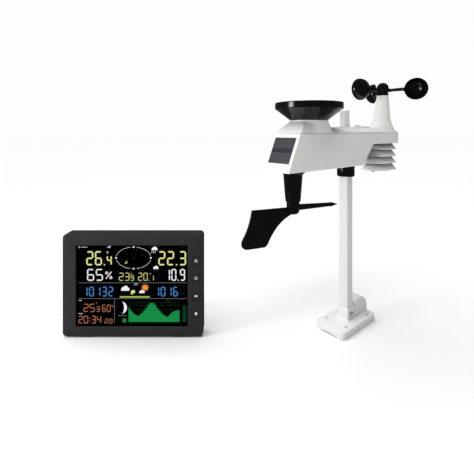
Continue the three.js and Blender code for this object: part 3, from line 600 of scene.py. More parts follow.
RAIN_X = -91.4
NOSE_TOP = -136.65
TAIL_X = 120.0
HEAD_HALF = 23.5
ROOF_HALF = 12.0
LID_LOW = 300.0
DECK = 308.5
FAIRING_BACK = 26.0
FAIRING_TOP = 316.2
FAIRING_RADIUS = 26.8
RING_RADIUS = 27.0
RING_BORE = 24.6


def head_ring(x0, x1, z, half):
    """A ring with a square front end and a half-round back end."""
    return lying([(x0, -half), *arc(x1, 0, half, -TAU / 4, TAU / 4, 28), (x0, half)], z)


def nose_fairing():
    """A smooth skin from the nose's square edge up to the round ring of the rain gauge."""
    front = RAIN_X - NOSE_TOP - 0.45
    corner = math.atan2(HEAD_HALF, -front)
    angles = sorted([TAU * i / 144 for i in range(144)] + [corner, TAU - corner])
    rings = []
    for step in range(13):
        share = step / 12
        ring = []
        for a in angles:
            ahead = (FAIRING_BACK if math.cos(a) > 0 else front) / max(abs(math.cos(a)), 1e-6)
            reach = min(ahead, HEAD_HALF / max(abs(math.sin(a)), 1e-6))
            radius = reach + (FAIRING_RADIUS - reach) * share
            z = LID_LOW + 0.8 + (FAIRING_TOP - LID_LOW - 0.8) * share
            ring.append((RAIN_X + radius * math.cos(a), radius * math.sin(a), z))
        rings.append(ring)
    return loft(rings)


def lid_hollow():
    return loft([
        head_ring(NOSE_TOP + 6, TAIL_X, LID_LOW - 1, HEAD_HALF - 4.2),
        head_ring(NOSE_TOP + 17, TAIL_X - 3, DECK - 2.2, ROOF_HALF - 2),
    ])


def lid_throat():
    return rod(RAIN_X, 0, LID_LOW - 2, 330, RING_BORE, 96)


def housing_lid():
    """Hipped roof, fairing and rain gauge ring, hollow below, with the screws' posts."""
    roof = soften(loft([
        head_ring(NOSE_TOP, TAIL_X, LID_LOW, HEAD_HALF),
        head_ring(NOSE_TOP + 0.5, TAIL_X, LID_LOW + 1.2, HEAD_HALF),
        head_ring(NOSE_TOP + 14, TAIL_X - 3, DECK, ROOF_HALF),
    ]), 0.45, 0.2, 30)
    bores = together(
        lid_throat(), box(-6.6, 0.9, -3.2, 3.2, LID_LOW - 2, 320), rod(116.3, 0, LID_LOW - 2, 320, 3),
    )
    roof = cut(cut(roof, lid_hollow()), bores)
    fairing = cut(cut(nose_fairing(), lid_hollow()), lid_throat())
    ring = moved(lathe(fillet([
        (RING_BORE, 300, 0), (RING_RADIUS, 300, 0.3), (RING_RADIUS, 317.8, 0.5),
        (RING_BORE, 317.8, 0.3),
    ]), 144), shifted(RAIN_X, 0, 0))
    posts = [rod(-66, y, 262.3, 303, 3, 32, 1.7) for y in (-17.5, 17.5)]
    made = together(roof, fairing, ring, *posts)
    finished("housing_lid", made, MAST_PLACE, WHITE, "outdoor_unit", sharp=28)


def head_shells():
    finished_copy("housing_body", "outdoor_unit", WHITE, 0.7, 2.2)
    housing_lid()
    finished_copy("solar_panel", "outdoor_unit", PANEL, 0.25, 2.2)
    finished_copy("antenna_shroud", "outdoor_unit", WHITE, 0.9, 2.2)
    finished_copy("battery_door", "hatch", WHITE, 0.35, 2.2)
    for node in ("housing_screw_1", "housing_screw_2"):
        screw_up(node, "outdoor_unit", 2.6, 1.4, 1.8)
    for node in ("shield_screw_1", "shield_screw_2"):
        screw_up(node, "outdoor_unit", 3.0, 1.5, 2.0)


def bubble_level():
    """A ring round a vial of liquid with a domed top, and the mark on it."""
    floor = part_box("bubble_level")[0].z / MM
    place = upright("bubble_level")
    ring = lathe(fillet([
        (5.1, floor, 0), (6.6, floor, 0.2), (6.6, floor + 1.5, 0.5), (5.1, floor + 1.9, 0.3),
    ]), 64)
    piece("level_ring", ring, place, WHITE, "outdoor_unit")
    dome = [(0, floor + 0.2), (5.0, floor + 0.2)] + arc(0, floor + 1.5, 5.0, 0, TAU / 4, 16, 0.46)
    piece("level_vial", lathe(dome, 64), place, LIQUID, "outdoor_unit", ["bubble_level"])
    mark = lathe(fillet([
        (2.0, floor + 3.45, 0.1), (2.4, floor + 3.4, 0.1), (2.4, floor + 3.62, 0.1),
        (2.0, floor + 3.75, 0.1),
    ], 2), 48)
    piece("level_mark", mark, place, BLACK_SATIN, "outdoor_unit")


def light_sensor():
    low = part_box("light_sensor")[0]
    z = low.z / MM
    place = shifted(low.x, middle("light_sensor").y, 0) @ MILLIMETRES
    plate = soften(up_z(rounded(0, 18, -6, 6, 1.5), z, z + 1.6), 0.4, 0.1)
    piece("light_sensor_base", plate, place, WHITE, "outdoor_unit", ["light_sensor"])
    dome = [(0, z + 1.5), (3.4, z + 1.5)] + arc(0, z + 1.8, 3.4, 0, TAU / 4, 12, 0.9 / 3.4)
    lens = moved(lathe(dome, 48), shifted(5, 0, 0))
    piece("light_sensor_lens", lens, place, DOME, "outdoor_unit")


def inner_parts():
    for node in ("main_board", "climate_probe", "console_board"):
        for i in range(len(NODES[node].data.materials)):
            NODES[node].data.materials[i] = BOARD
    for index in (1, 2, 3):
        node = f"battery_{index}"
        at = middle(node)
        outline = fillet([
            (0, 0, 0), (5.6, 0, 0), (5.8, 0.3, 0), (7.1, 0.3, 0.5), (7.1, 48.4, 0.7), (3.2, 48.4, 0),
            (3.0, 48.2, 0), (2.7, 48.4, 0), (2.7, 50, 0.4), (0, 50, 0),
        ], 4)
        made = lathe(outline, 48)
        made.faces.ensure_lookup_table()
        for face in made.faces:
            centre = face.calc_center_median()
            face.material_index = int(math.hypot(centre.x, centre.y) < 6.0)
        place = shifted(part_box(node)[0].x, at.y, at.z) @ turned(90, "Y") @ MILLIMETRES
        finished(node, made, place, [WRAP, STEEL], "outdoor_unit")


def between(a, b, c, d, t):
    """A smooth curve from b to c."""
    return b + 0.5 * t * (c - a + t * (2 * a - 5 * b + 4 * c - d + t * (3 * (b - c) + d - a)))


def circle(x, z, radius):
    return lying(disc(x, 0, radius, 72), z)


def anemometer_post():
    """Tapered post that leans out as it rises and flares down onto the roof."""
    keys = [(-4.8, 301.6, 21.6), (-4.7, 304.0, 21.1), (-4.4, 309.5, 19.3), (-4.1, 316.0, 16.7),
            (-3.4, 325.0, 14.2), (-1.6, 344.0, 12.0), (-0.4, 360.0, 10.2), (0.0, 365.5, 9.5)]
    rings = []
    for i in range(len(keys) - 1):
        a, b, c, d = keys[max(i - 1, 0)], keys[i], keys[i + 1], keys[min(i + 2, len(keys) - 1)]
        for step in range(5):
            rings.append(circle(*[between(*values, step / 5) for values in zip(a, b, c, d)]))
    for ring in ((0, 365.5, 9.5), (0, 365.9, 9.35), (0, 366, 9.0), (0, 366, 5.7), (0, 356.5, 5.7),
                 (0, 356.5, 7.0), (0, 309, 7.0), (-4.8, 303, 7.0), (-4.8, 301.6, 8.0)):
        rings.append(circle(*ring))
    rib = across_y(fillet([
        (4, 303, 0), (19.5, 303, 0), (19.5, 321, 1.0), (4, 321, 0),
    ]), -6, 6)
    made = together(loft(rings, loop=True), soften(rib, 0.7, 0.2, 50))
    finished("anemometer_post", made, upright("rotor_shaft"), WHITE, "outdoor_unit")
    for node in ("rotor_bearing", "vane_bearing"):
        finished_copy(node, "outdoor_unit", STEEL)


# ---------------- wind cups and vane

CUP_ARM = 53.6
CUP_RADIUS = 18.5
CUP_SKIN = 1.4
CUP_DEPTH = 0.8
CUP_HEIGHT = 375
CUP_HEADINGS = (-75, 45, 165)


def wind_cup(index, heading):
    lip = [(CUP_RADIUS + grow, z) for grow, z in ((0.1, -0.4), (-0.3, -0.9), (-1.1, -0.9), (-1.4, -0.4))]
    outer = arc(0, 0, CUP_RADIUS, TAU / 4, 0, 24)
    inner = arc(0, 0, CUP_RADIUS - CUP_SKIN, 0, TAU / 4, 24)
    bowl = moved(lathe(outer + lip + inner), Matrix.Diagonal((1, 1, CUP_DEPTH, 1)), turned(-90, "X"),
                 shifted(CUP_ARM, 0, 0))
    reach = CUP_ARM - CUP_RADIUS
    arm = lathe(fillet([
        (0, 6.4, 0), (2.5, 6.4, 0), (2.8, 14, 0.8), (2.4, 16, 0.8), (2.3, reach - 3.5, 2),
        (3.2, reach + 0.8, 0.4), (0, reach + 0.8, 0),
    ]), 32)
    rib = across_y([(14, 0.6), (reach + 2.4, 0.6), (reach + 1.2, 3.6), (16, 2.7)], -0.55, 0.55)
    parts = together(bowl, moved(arm, turned(90, "Y")), rib)
    place = upright("rotor_shaft") @ shifted(0, 0, CUP_HEIGHT) @ turned(heading, "Z")
    finished(f"wind_cup_{index}", parts, place, BLACK, "rotor")


def rotor():
    neck = fillet([(0, 366.4, 0), (9.5, 366.4, 0.5), (9.5, 369.6, 0.8), (8.3, 371.6, 0)])
    ball = arc(0, 379, 10.2, -0.62, TAU / 4, 20)
    bosses = [
        moved(lathe(fillet([(0, 5, 0), (3.6, 5, 0), (3.4, 11.8, 0.6), (0, 11.8, 0)]), 32),
              turned(90, "Y"), shifted(0, 0, CUP_HEIGHT), turned(heading, "Z"))
        for heading in CUP_HEADINGS
    ]
    made = together(lathe(neck + ball), *bosses)
    finished("rotor_hub", made, upright("rotor_shaft"), BLACK, "rotor")
    for index, heading in enumerate(CUP_HEADINGS, 1):
        wind_cup(index, heading)
    finished_copy("rotor_shaft", "rotor", STEEL)


def bend(start, pull, end, steps=10):
    """Points of a quadratic curve, without its start."""
    points = []
    for i in range(1, steps + 1):
        t = i / steps
        points.append(tuple(
            (1 - t) ** 2 * s + 2 * t * (1 - t) * p + t * t * e for s, p, e in zip(start, pull, end)))
    return points


VANE_HEADING = 161.3


def vane():
    holder = fillet([
        (1.7, 213.8, 0), (5.5, 213.8, 0), (5.5, 208.4, 0.3), (10.0, 208.4, 0.8), (10.2, 211.6, 0.4),
        (10.5, 212.2, 0.4), (12.9, 244.6, 1.6), (16.8, 248.4, 0.4), (16.8, 249.7, 0.2), (8, 249.7, 0),
        (8, 262, 0), (1.7, 262, 0),
    ])
    finished("vane_holder", lathe(holder, 96), upright("vane_shaft"), BLACK, "outdoor_unit")
    hub = lathe(fillet([
        (0, 192, 0), (6.0, 192, 1.2), (8.5, 194.8, 1.6), (8.7, 207.8, 0.5), (0, 207.8, 0),
    ]))
    tail = [(0, 201), (60.5, 201)]
    tail += bend((60.5, 201), (63.5, 180), (73, 165))
    tail += bend((73, 165), (76.4, 158), (73, 154.2))
    tail += bend((73, 154.2), (70.5, 151.3), (66, 151.3))
    tail += [(43, 151.6)]
    tail += bend((43, 151.6), (39.4, 152.4), (37.1, 156.7))
    tail += bend((37.1, 156.7), (24, 184), (0, 192.2), 18)
    blade = soften(across_y(tail, -1.2, 1.2), 0.45, 0.1, 60)
    pointer = soften(across_y([
        (0, 195.8), (0, 204.2), (-59.4, 202.5), (-60, 203.2), (-72, 200), (-60, 196.8),
        (-59.4, 197.5),
    ], -1.6, 1.6), 0.6, 0.1, 60)
    keel = soften(across_y([(0, 199.2), (0, 200.8), (-58, 200.6), (-58, 199.4)], -2.3, 2.3), 0.3, 0.1, 60)
    place = upright("vane_shaft") @ turned(VANE_HEADING, "Z")
    finished("wind_vane", together(hub, blade, pointer, keel), place, BLACK, "vane")
    finished_copy("vane_shaft", "vane", STEEL)


# ---------------- rain gauge and shield

def rain_gauge():
    funnel = fillet([
        (4.2, 298, 0), (6, 298, 0), (6, 302.6, 0), (22.3, 315.1, 0), (22.3, 309, 0), (24.1, 309, 0),
        (24.1, 318.4, 0), (26.6, 318.4, 0.2), (46.5, 333.66, 0.2), (46.9, 333.5, 0.2),
        (47.2, 334.4, 0.3), (47.2, 342.3, 0.9), (45.3, 342.3, 0.6), (45.2, 335.3, 1.0),
        (4.2, 303.8, 0.3),
    ])
    bars = [
        moved(box(-0.5, 0.5, 0, 6, 303.2, 304.4), turned(120 * i, "Z")) for i in range(3)
    ]
    made = together(lathe(funnel, 128), *bars)
    finished("rain_funnel", made, upright("rain_funnel"), BLACK, "funnel")
    finished_copy("tipping_bucket", "bucket", BLACK_SATIN, 0.3, 2.2)
    finished_copy("bucket_axle", "bucket", STEEL)


SKIRT_SIDES = 96
SKIRT_FRONT = 88
SKIRT_BACK = 116
SKIRT_OUTLINE = (
    (20.2, 0), (21.2, -0.05), (21.55, 0.2), (21.6, 0.9), (21.3, 1.3), (15.5, 9.6),
    (15.0, 10.1), (14.4, 10.2), (7.2, 10.2), (7.0, 8.5), (13.5, 8.5), (19.9, 0.6),
)
SKIRT_OUTER_STRIPS = 6
NECK_RADIUS = 8
NECK_INSET = 8


def stadium(x0, x1, z, radius):
    points = []
    for i in range(SKIRT_SIDES):
        angle = TAU * (i + 0.5) / SKIRT_SIDES
        centre = x1 if math.cos(angle) > 0 else x0
        points.append((centre + radius * math.cos(angle), radius * math.sin(angle), z))
    return points


def louvres():
    """Sloped skirts with a rounded lip and a dark inside, each carried on two spacers."""
    for index in (1, 2, 3, 4):
        node = f"louvre_{index}"
        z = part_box(node)[0].z / MM + 1
        rings = []
        for radius, rise in SKIRT_OUTLINE:
            inset = NECK_INSET if radius < NECK_RADIUS else 0
            rings.append(stadium(SKIRT_FRONT + inset, SKIRT_BACK - inset, z + rise, radius))
        skirt = loft(rings, loop=True)
        skirt.faces.ensure_lookup_table()
        for number, face in enumerate(skirt.faces):
            face.material_index = int(number // SKIRT_SIDES >= SKIRT_OUTER_STRIPS)
        spacers = [
            moved(lathe(fillet([
                (1.8, z - 1, 0), (3.4, z - 1, 0.3), (3.4, z + 9.6, 0), (1.8, z + 9.6, 0),
            ], 3), 32), shifted(x, 0, 0))
            for x in (82, 122)
        ]
        made = together(skirt, *spacers)
        finished(node, made, MAST_PLACE, [SHIELD, UNDERSIDE], "outdoor_unit")


# ---------------- console

CASE_HALF = 103.0
CASE_LOW = 1.5
CASE_HIGH = 151.5
SCREEN_X = -0.7
SCREEN_Z = 76.2
SCREEN_HALF_X = 81.85
SCREEN_HALF_Z = 59.4
KEY_X = 93.0
KEY_HALF_X = 5.5
KEY_HALF_Z = 7.0
BEZEL_INSET = 2.6
BEZEL_LOW = 1.8
BEZEL_TOP = 0.05
BEZEL_LIP = 1.6
KEY_HEIGHTS = (112.9, 87.6, 61.6, 35.6)
KEY_BODIES = ("key_top", "key_upper", "key_lower", "key_bottom")


def panel_ring(x0, x1, z0, z1, radius, y):
    return standing(rounded(x0, x1, z0, z1, radius, 8), y)


def case_ring(inset, y, radius=6.0):
    edge = CASE_HALF - inset
    return panel_ring(-edge, edge, CASE_LOW + inset, CASE_HIGH - inset, max(radius - inset, 0.8), y)


def screen_ring(margin, y, radius=0.5):
    return panel_ring(
        SCREEN_X - SCREEN_HALF_X - margin, SCREEN_X + SCREEN_HALF_X + margin,
        SCREEN_Z - SCREEN_HALF_Z - margin, SCREEN_Z + SCREEN_HALF_Z + margin, radius, y)


def key_block(z, margin, radius, y0, y1):
    """A block with a key's outline, wider by a margin all round."""
    half_x = KEY_HALF_X + margin
    half_z = KEY_HALF_Z + margin
    return across_y(rounded(KEY_X - half_x, KEY_X + half_x, z - half_z, z + half_z, radius), y0, y1)


def console_bezel():
    """Mitred frame whose four faces rise gently towards the screen, with a fine outer step."""
    skin = loft([
        case_ring(0, 9.0), case_ring(0, 3.1), case_ring(0.35, 2.4), case_ring(1.0, 2.1),
        case_ring(1.7, 2.1), case_ring(2.0, 1.9), case_ring(BEZEL_INSET, BEZEL_LOW),
        screen_ring(BEZEL_LIP, BEZEL_TOP, 1.2), screen_ring(0.7, 0.12, 0.9), screen_ring(0.15, 0.5),
        screen_ring(0, 1.0), screen_ring(0, 2.2), case_ring(2.2, 2.2), case_ring(2.2, 9.0),
    ], loop=True)
    made = cut(skin, together(*[key_block(z, 0.3, 1.6, -3, 5.2) for z in KEY_HEIGHTS]))
    finished("console_bezel", made, CONSOLE_PLACE, BEZEL, "console", sharp=14)


def hoop(x, z, radius, width, y0, y1):
    """A flat ring that faces the reader."""
    outer = disc(x, z, radius + width / 2, 40)
    inner = disc(x, z, radius - width / 2, 40)
    corners = ((outer, y0), (outer, y1), (inner, y1), (inner, y0))
    return loft([standing(outline, y) for outline, y in corners], loop=True)


def bar(a, b, width, y0, y1, point=0.5):
    """A straight stroke from a to b with pointed or blunt ends."""
    start, end = Vector(a), Vector(b)
    ahead = (end - start).normalized() * width * point
    side = Vector((-ahead.y, ahead.x)).normalized() * width / 2
    outline = [start, start + ahead - side, end - ahead - side, end, end - ahead + side,
               start + ahead + side]
    return across_y([tuple(p) for p in outline], y0, y1)


PRINT_DEPTH = (-0.04, 0.1)


def key_sign(index):
    """Printed sign round a key's centre: sound waves, a tick in a ring, two humps or a lamp."""
    deep = PRINT_DEPTH
    if index == 0:
        parts = [hoop(0, 0, 1.9, 0.45, *deep), hoop(0, 0, 0.9, 0.4, *deep),
                 bar((1.5, -1.5), (2.6, -2.6), 0.5, *deep)]
    elif index == 1:
        parts = [hoop(0, 0, 2.1, 0.4, *deep), bar((-1.2, 0.2), (-0.2, -0.9), 0.5, *deep),
                 bar((-0.4, -0.9), (1.3, 1.1), 0.5, *deep)]
    elif index == 2:
        parts = [across_y(disc(-1.0, 0, 1.15), *deep), across_y(disc(1.0, 0, 1.15), *deep),
                 bar((-2.3, -1.1), (2.3, -1.1), 0.6, *deep)]
    else:
        parts = [across_y(disc(0, 0.3, 1.9), *deep), bar((-0.9, -2.1), (0.9, -2.1), 0.55, *deep)]
    return together(*parts)


def key_lean():
    """Leans a flat key front back to the slope of the bezel's right face."""
    inner = SCREEN_X + SCREEN_HALF_X + BEZEL_LIP
    outer = CASE_HALF - BEZEL_INSET
    slope = (BEZEL_LOW - BEZEL_TOP) / (outer - inner)
    lean = Matrix.Identity(4)
    lean[1][0] = slope
    lean[1][3] = BEZEL_TOP - slope * inner
    return lean


def console_keys():
    for index, (z, body) in enumerate(zip(KEY_HEIGHTS, KEY_BODIES)):
        cap = moved(soften(key_block(z, 0, 1.4, 0.05, 2.6), 0.3, 0.1, 60), key_lean())
        made = together(cap, key_block(z, 0.7, 0, 2.6, 4.2))
        finished(f"key_{index + 1}", made, CONSOLE_PLACE, EDGE, body)
        sign = moved(key_sign(index), shifted(KEY_X, 0, z), key_lean())
        piece(f"key_sign_{index + 1}", sign, CONSOLE_PLACE, PRINT, body)


def console_case():
    finished_copy("console_back", "console", BEZEL, 0.6, 2.2)
    finished_copy("display_window", "console", WINDOW)
    finished_copy("lcd_module", "console", DISPLAY)
    finished_copy("power_inlet", "console", BLACK_SATIN, 0.3, 2.2)
    finished_copy("backup_cell", "console", STEEL, 0.3, 1.0)
    finished_copy("stand_pin", "console", STEEL)
    for node in ("console_foot_1", "console_foot_2"):
        finished_copy(node, "console", RUBBER, 0.3, 1.0)
    for node in ("console_screw_1", "console_screw_2"):
        at = middle(node)
        place = (
            shifted(*at) @ Matrix.Rotation(CONSOLE_TURN, 4, "Z")
            @ turned(-90, "X") @ MILLIMETRES @ shifted(0, 0, 0.75)
        )
        screw(node, "console", 2.5, 1.2, 1.1, 1.5, place)
    finished_copy("stand_plate", "stand", BEZEL, 0.6, 1.2)
    finished_copy("cell_door", "rear_door", BEZEL, 0.25, 1.0)


# ---------------- display content

SEGMENTS = {
    "0": "abcdef", "1": "bc", "2": "abged", "3": "abgcd", "4": "fgbc", "5": "afgcd",
    "6": "afgedc", "7": "abc", "8": "abcdefg", "9": "abcdfg",
}
LIT_DEPTH = (4.10, 4.24)
SIGN_WIDTHS = {".": 0.22, ":": 0.3}
SPACING = 0.24
LARGE = (1.0, 1.0, 1.0)
SMALL = (0.72, 0.7, 0.85)


class Screen:
    """Lit signs of the display, gathered by colour, in mm from its lower left corner."""

    def __init__(self):
        self.parts = {}

    def add(self, ink, made):
        self.parts.setdefault(ink, []).append(made)

    def shape(self, ink, outline):
        self.add(ink, across_y(outline, *LIT_DEPTH))

    def area(self, ink, x0, x1, z0, z1):
        self.shape(ink, rounded(x0, x1, z0, z1))

    def stroke(self, ink, a, b, width, point=0.5):
        self.add(ink, bar(a, b, width, *LIT_DEPTH, point))

    def ring(self, ink, x, z, radius, width):
        self.add(ink, hoop(x, z, radius, width, *LIT_DEPTH))

    def digit(self, ink, sign, x, z, width, height, stroke):
        """One seven-segment digit."""
        left = x + stroke / 2
        right = x + width - stroke / 2
        low = z + stroke / 2
        high = z + height - stroke / 2
        mid = z + height / 2
        gap = stroke * 0.12
        ends = {
            "a": ((left, high), (right, high)), "g": ((left, mid), (right, mid)),
            "d": ((left, low), (right, low)), "f": ((left, mid), (left, high)),
            "e": ((left, low), (left, mid)), "b": ((right, mid), (right, high)),
            "c": ((right, low), (right, mid)),
        }
        for name in SEGMENTS[sign]:
            a, b = (Vector(p) for p in ends[name])
            ahead = (b - a).normalized() * gap
            self.stroke(ink, tuple(a + ahead), tuple(b - ahead), stroke)

    def number(self, ink, text, x0, x1, z0, z1, thick=0.1):
        """Digits that fill a box. Those after a comma are smaller in width, height and stroke."""
        large, _, small = text.partition(",")
        signs = [(sign, *LARGE) for sign in large] + [(sign, *SMALL) for sign in small]
        widths = [SIGN_WIDTHS.get(sign, 1.0) * wide for sign, wide, _, _ in signs]
        unit = (x1 - x0) / (sum(widths) + SPACING * (len(widths) - 1))
        height = z1 - z0
        x = x0
        for (sign, _, tall, bold), width in zip(signs, widths):
            stroke = height * thick * bold
            middle_x = x + width * unit / 2
            dots = {".": (z0 + stroke / 2,), ":": (z0 + height * 0.3, z0 + height * 0.68)}
            for z in dots.get(sign, ()):
                self.shape(ink, disc(middle_x, z, stroke * 0.5, 16))
            if sign in SEGMENTS:
                self.digit(ink, sign, x, z0, width * unit, height * tall, stroke)
            x += (width + SPACING) * unit

    def cloud(self, ink, x, z, width):
        """Three puffs on a flat base."""
        for a, b, radius in ((-0.22, 0.12, 0.20), (0.06, 0.22, 0.25), (0.30, 0.10, 0.17)):
            self.shape(ink, disc(x + width * a, z + width * b, width * radius))
        base = ((-0.48, -0.08), (0.48, -0.08), (0.44, 0.14), (-0.42, 0.14))
        self.shape(ink, fillet([(x + width * a, z + width * b, width * 0.09) for a, b in base]))

    def percent(self, ink, x, z, size):
        self.stroke(ink, (x, z), (x + size * 0.8, z + size), size * 0.13, 0.3)
        self.ring(ink, x + size * 0.12, z + size * 0.82, size * 0.15, size * 0.1)
        self.ring(ink, x + size * 0.70, z + size * 0.18, size * 0.15, size * 0.1)

    def finish(self):
        origin = shifted(SCREEN_X - SCREEN_HALF_X, 0, SCREEN_Z - SCREEN_HALF_Z)
        for ink, parts in self.parts.items():
            made = moved(together(*parts), origin)
            piece(f"lcd_{ink}", made, CONSOLE_PLACE, INKS[ink], "console")


def outdoor_readings(screen):
    screen.number("yellow", "26.,4", 13.8, 51.3, 88.4, 109.4)
    screen.ring("yellow", 45.0, 107.6, 1.1, 0.5)
    screen.number("white", "65", 14.9, 38.2, 65.8, 83.2)
    screen.percent("white", 42.5, 68.6, 10.6)
    screen.number("yellow", "22.3", 119.8, 160.7, 88.4, 109.4)
    screen.number("white", "10.9", 129.5, 159.2, 65.8, 83.2)
    screen.number("soft_yellow", "23,9", 61.8, 83.8, 65.8, 77.6)
    screen.number("soft_yellow", "20.,1", 90.0, 113.1, 65.8, 77.6)
    screen.ring("soft_yellow", 80.0, 76.2, 0.7, 0.35)
    screen.ring("soft_yellow", 108.0, 76.2, 0.7, 0.35)
    for i in range(4):
        screen.area("white", 44.5 + i * 1.3, 45.4 + i * 1.3, 114.6, 115.4 + i * 0.6)
    screen.ring("white", 3.6, 115.2, 1.0, 0.4)
    for i in range(3):
        screen.area("white", 7.0 + i * 3.0, 9.2 + i * 3.0, 114.9, 115.6)


def compass(screen):
    """A ring of strokes with gaps, a dot at each quarter, marks between them and a needle."""
    x, z, wide, squeeze, steps = 83.3, 99.5, 25.6, 0.621, 60

    def dial(turns, spread_x=1.0, spread_z=1.0):
        angle = TAU * turns
        return (x + wide * spread_x * math.cos(angle), z + wide * squeeze * spread_z * math.sin(angle))

    for i in range(steps):
        if i % 15 in (0, 14):
            continue
        ink = "grey" if i % 15 in (1, 13) else "white"
        screen.stroke(ink, dial((i + 0.08) / steps), dial((i + 0.92) / steps), 0.42, 0.1)
    for i in range(4):
        screen.shape("white", disc(*dial(i / 4), 1.25))
    for i in range(4):
        at = Vector(dial((i + 0.5) / 4, 0.93, 1.03))
        side = Vector((1.5, 0.9 if i % 2 else -0.9))
        screen.stroke("grey", tuple(at - side), tuple(at + side), 0.9)
    screen.shape("dim_green", disc(x, z, 0.8))
    screen.shape("lime", [(70.0, 90.6), (74.6, 92.0), (72.9, 95.4)])
    screen.stroke("dim_green", (68.8, 89.0), (76.0, 96.6), 0.5)


def rain_signs(screen):
    screen.cloud("white", 114.2, 111.6, 9.6)
    for i in range(3):
        screen.stroke("white", (111.0 + 2.4 * i, 109.6), (109.6 + 2.4 * i, 106.6), 0.6)
    screen.cloud("white", 116.1, 83.9, 8.6)
    for i in range(4):
        screen.stroke("grey", (112.6 + 2.2 * i, 81.6), (113.8 + 2.2 * i, 81.6), 0.5)


def pressure_row(screen):
    screen.area("grey", 3.0, 161.5, 62.6, 63.0)
    screen.area("grey", 3.0, 161.5, 39.4, 39.8)
    screen.area("grey", 55.2, 55.6, 3.7, 39.4)
    screen.number("blue", "10132", 8.2, 53.6, 42.6, 57.2, 0.13)
    screen.number("blue", "1016", 113.8, 148.8, 42.6, 57.2, 0.13)
    screen.area("dim_green", 151.5, 159.0, 47.2, 47.7)
    screen.cloud("white", 71.0, 52.2, 13.4)
    screen.cloud("grey", 86.6, 59.6, 6.6)
    sun = (100.4, 55.7)
    screen.shape("sun", disc(*sun, 4.1))
    for start, end in zip(disc(*sun, 4.5, 12), disc(*sun, 5.7, 12)):
        screen.stroke("sun", start, end, 0.8)
    screen.shape("yellow", disc(82.6, 49.6, 3.0, 24, 0.8))
    screen.shape("lime", disc(80.9, 47.2, 2.1, 20, 0.8))
    screen.cloud("white", 95.6, 48.4, 8.6)
    screen.area("lime", 63.2, 107.1, 41.1, 43.0)


def indoor_and_clock(screen):
    screen.number("orange", "25,3", 9.7, 33.4, 20.0, 31.9)
    screen.number("orange", "60", 37.0, 49.6, 20.0, 30.6)
    screen.percent("orange", 51.2, 27.0, 3.4)
    screen.number("orange", "20:34", 2.2, 35.8, 3.0, 14.3)
    screen.number("orange", "28", 40.4, 52.4, 3.0, 9.8)
    screen.ring("orange", 28.8, 33.2, 0.7, 0.35)
    for x, z in ((3.0, 36.6), (5.2, 36.6), (2.4, 17.2), (4.6, 17.2), (6.8, 17.2)):
        screen.area("white", x, x + 1.6, z, z + 0.7)


def moon(screen):
    """A crescent between two arcs."""
    x, z, tall = 66.0, 26.2, 8.7
    outer = arc(x, z, 7.6, -TAU / 4, TAU / 4, 20, tall / 7.6)
    inner = arc(x, z, 3.4, TAU / 4, -TAU / 4, 20, tall / 3.4)
    screen.shape("white", outer + inner[1:-1])
    screen.area("grey", 60.4, 73.0, 14.2, 14.7)
    screen.area("green", 67.4, 72.4, 4.6, 10.0)


HISTORY = (17, 14, 12, 10, 9, 8, 7, 8, 9, 11, 13, 15, 17, 20, 22, 23, 23, 22, 20, 17, 15, 13, 11, 9, 8,
           7, 6, 7, 9, 11, 12, 13, 13, 14, 14)
CELL_GAP = 0.03


def history(screen):
    """Columns of small lit cells over a dim grid, and a scale beside them."""
    x0, x1, base, unit = 75.9, 151.0, 5.2, 1.22
    step = (x1 - x0) / len(HISTORY)
    for i, height in enumerate(HISTORY):
        x = x0 + step * i
        for row in range(0, height, 2):
            low = base + row * unit
            high = base + min(row + 2, height) * unit
            screen.area("green", x + CELL_GAP, x + step - CELL_GAP, low + CELL_GAP, high - CELL_GAP)
    for i in range(12):
        x = x0 + (x1 - x0) * i / 11
        screen.area("dim_green", x - 0.12, x + 0.12, base + 24.2, base + 28.4)
        screen.area("dim_green", x - 0.9, x + 0.9, base - 2.4, base - 1.9)
    for level in (17.5, 23.8, 28.4):
        screen.area("dim_green", x0, x1, base + level, base + level + 0.25)
    for level in range(8):
        z = base + level * 3.1
        screen.area("dim_green", 155.5, 160.7, z, z + 2.4)
    screen.ring("dim_green", 134.2, 36.2, 2.2, 0.7)


def display_signs():
    screen = Screen()
    for part in (outdoor_readings, compass, rain_signs, pressure_row, indoor_and_clock, moon, history):
        part(screen)
    screen.finish()


# ---------------- room, lights and camera

FLOOR_REACH = 60.0
SOFT_LEVEL = 0.20
MIRRORED_LEVEL = 0.08
SEEN_LEVEL = 0.985
SUN_POWER = 3.0
SOFTBOX_WATTS = 4.7
CAMERA_FROM_MAST = (-0.4799, -0.3099)
CAMERA_HEIGHT = 0.3027
LENS = 26.28
SENSOR = 36
SHIFT = -0.2232


def floor():
    made = bmesh.new()
    made.faces.new([made.verts.new(point) for point in lying(disc(0, 0, FLOOR_REACH, 96), 0)])
    mesh = bpy.data.meshes.new("floor")
    made.to_mesh(mesh)
    made.free()
    mesh.materials.append(moulded("floor_paper", (0.90, 0.90, 0.90), 0.9, grain=300.0, depth=0.01,
                                  spread=0.003, Specular_IOR_Level=0.1))
    ground = new_object("floor", mesh)
    ground.visible_glossy = False


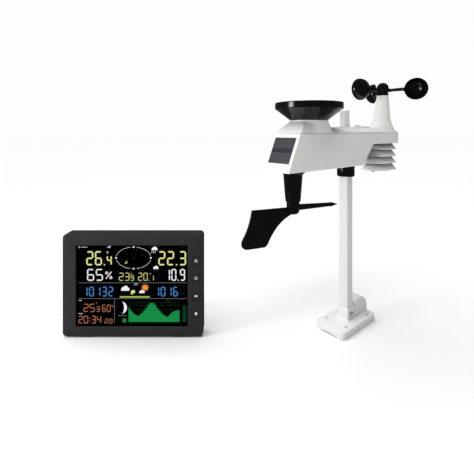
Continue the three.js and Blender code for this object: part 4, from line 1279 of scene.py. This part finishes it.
def room_light():
    """Even light from all round, a darker room in reflections, and a white one behind the object."""
    world = bpy.data.worlds.new("studio")
    bpy.context.scene.world = world
    world.use_nodes = True
    tree = world.node_tree
    tree.nodes.clear()
    rays = tree.nodes.new("ShaderNodeLightPath").outputs
    light = None
    levels = ((SOFT_LEVEL, None), (MIRRORED_LEVEL, "Is Glossy Ray"), (SEEN_LEVEL, "Is Camera Ray"))
    for level, ray in levels:
        shader = tree.nodes.new("ShaderNodeBackground")
        shader.inputs["Color"].default_value = (level, level, level, 1)
        before, light = light, shader.outputs[0]
        if ray:
            mix = tree.nodes.new("ShaderNodeMixShader")
            for socket, source in zip(mix.inputs, (rays[ray], before, light)):
                tree.links.new(source, socket)
            light = mix.outputs[0]
    tree.links.new(light, tree.nodes.new("ShaderNodeOutputWorld").inputs["Surface"])


def lamp(name, kind, energy, at, target, mirrored=True, **settings):
    data = bpy.data.lights.new(name, kind)
    data.energy = energy
    for key, value in settings.items():
        setattr(data, key, value)
    obj = new_object(name, data)
    obj.location = at
    obj.rotation_euler = (Vector(target) - Vector(at)).to_track_quat("-Z", "Y").to_euler()
    obj.visible_glossy = mirrored


def lights():
    room_light()
    lamp("overhead", "SUN", SUN_POWER, (0, 0, 2), (0.42, -0.24, 0), mirrored=False,
         angle=math.radians(70))
    mast = middle("mast_tube")
    centre = Vector((mast.x, mast.y, 0.3))
    side = Vector((math.cos(CONSOLE_TURN), math.sin(CONSOLE_TURN), 0))
    ahead = Vector((-side.y, side.x, 0))
    softbox = centre - side * 1.1 - ahead * 0.42 + Vector((0, 0, 0.06))
    lamp("side_softbox", "AREA", SOFTBOX_WATTS, softbox, centre, shape="RECTANGLE", size=0.27, size_y=0.42)


def camera():
    data = bpy.data.cameras.new("camera")
    data.lens = LENS
    data.sensor_width = SENSOR
    data.shift_y = SHIFT
    data.clip_start = 0.02
    data.clip_end = 300
    obj = new_object("camera", data)
    mast = middle("mast_tube")
    obj.location = (mast.x + CAMERA_FROM_MAST[0], mast.y + CAMERA_FROM_MAST[1], CAMERA_HEIGHT)
    obj.rotation_euler = (math.radians(90), 0, CONSOLE_TURN)
    bpy.context.scene.camera = obj


mast_and_foot()
head_shells()
bubble_level()
light_sensor()
inner_parts()
anemometer_post()
rotor()
vane()
rain_gauge()
louvres()
console_bezel()
console_keys()
console_case()
display_signs()
floor()
lights()
camera()
bpy.context.scene.view_settings.view_transform = "Standard"
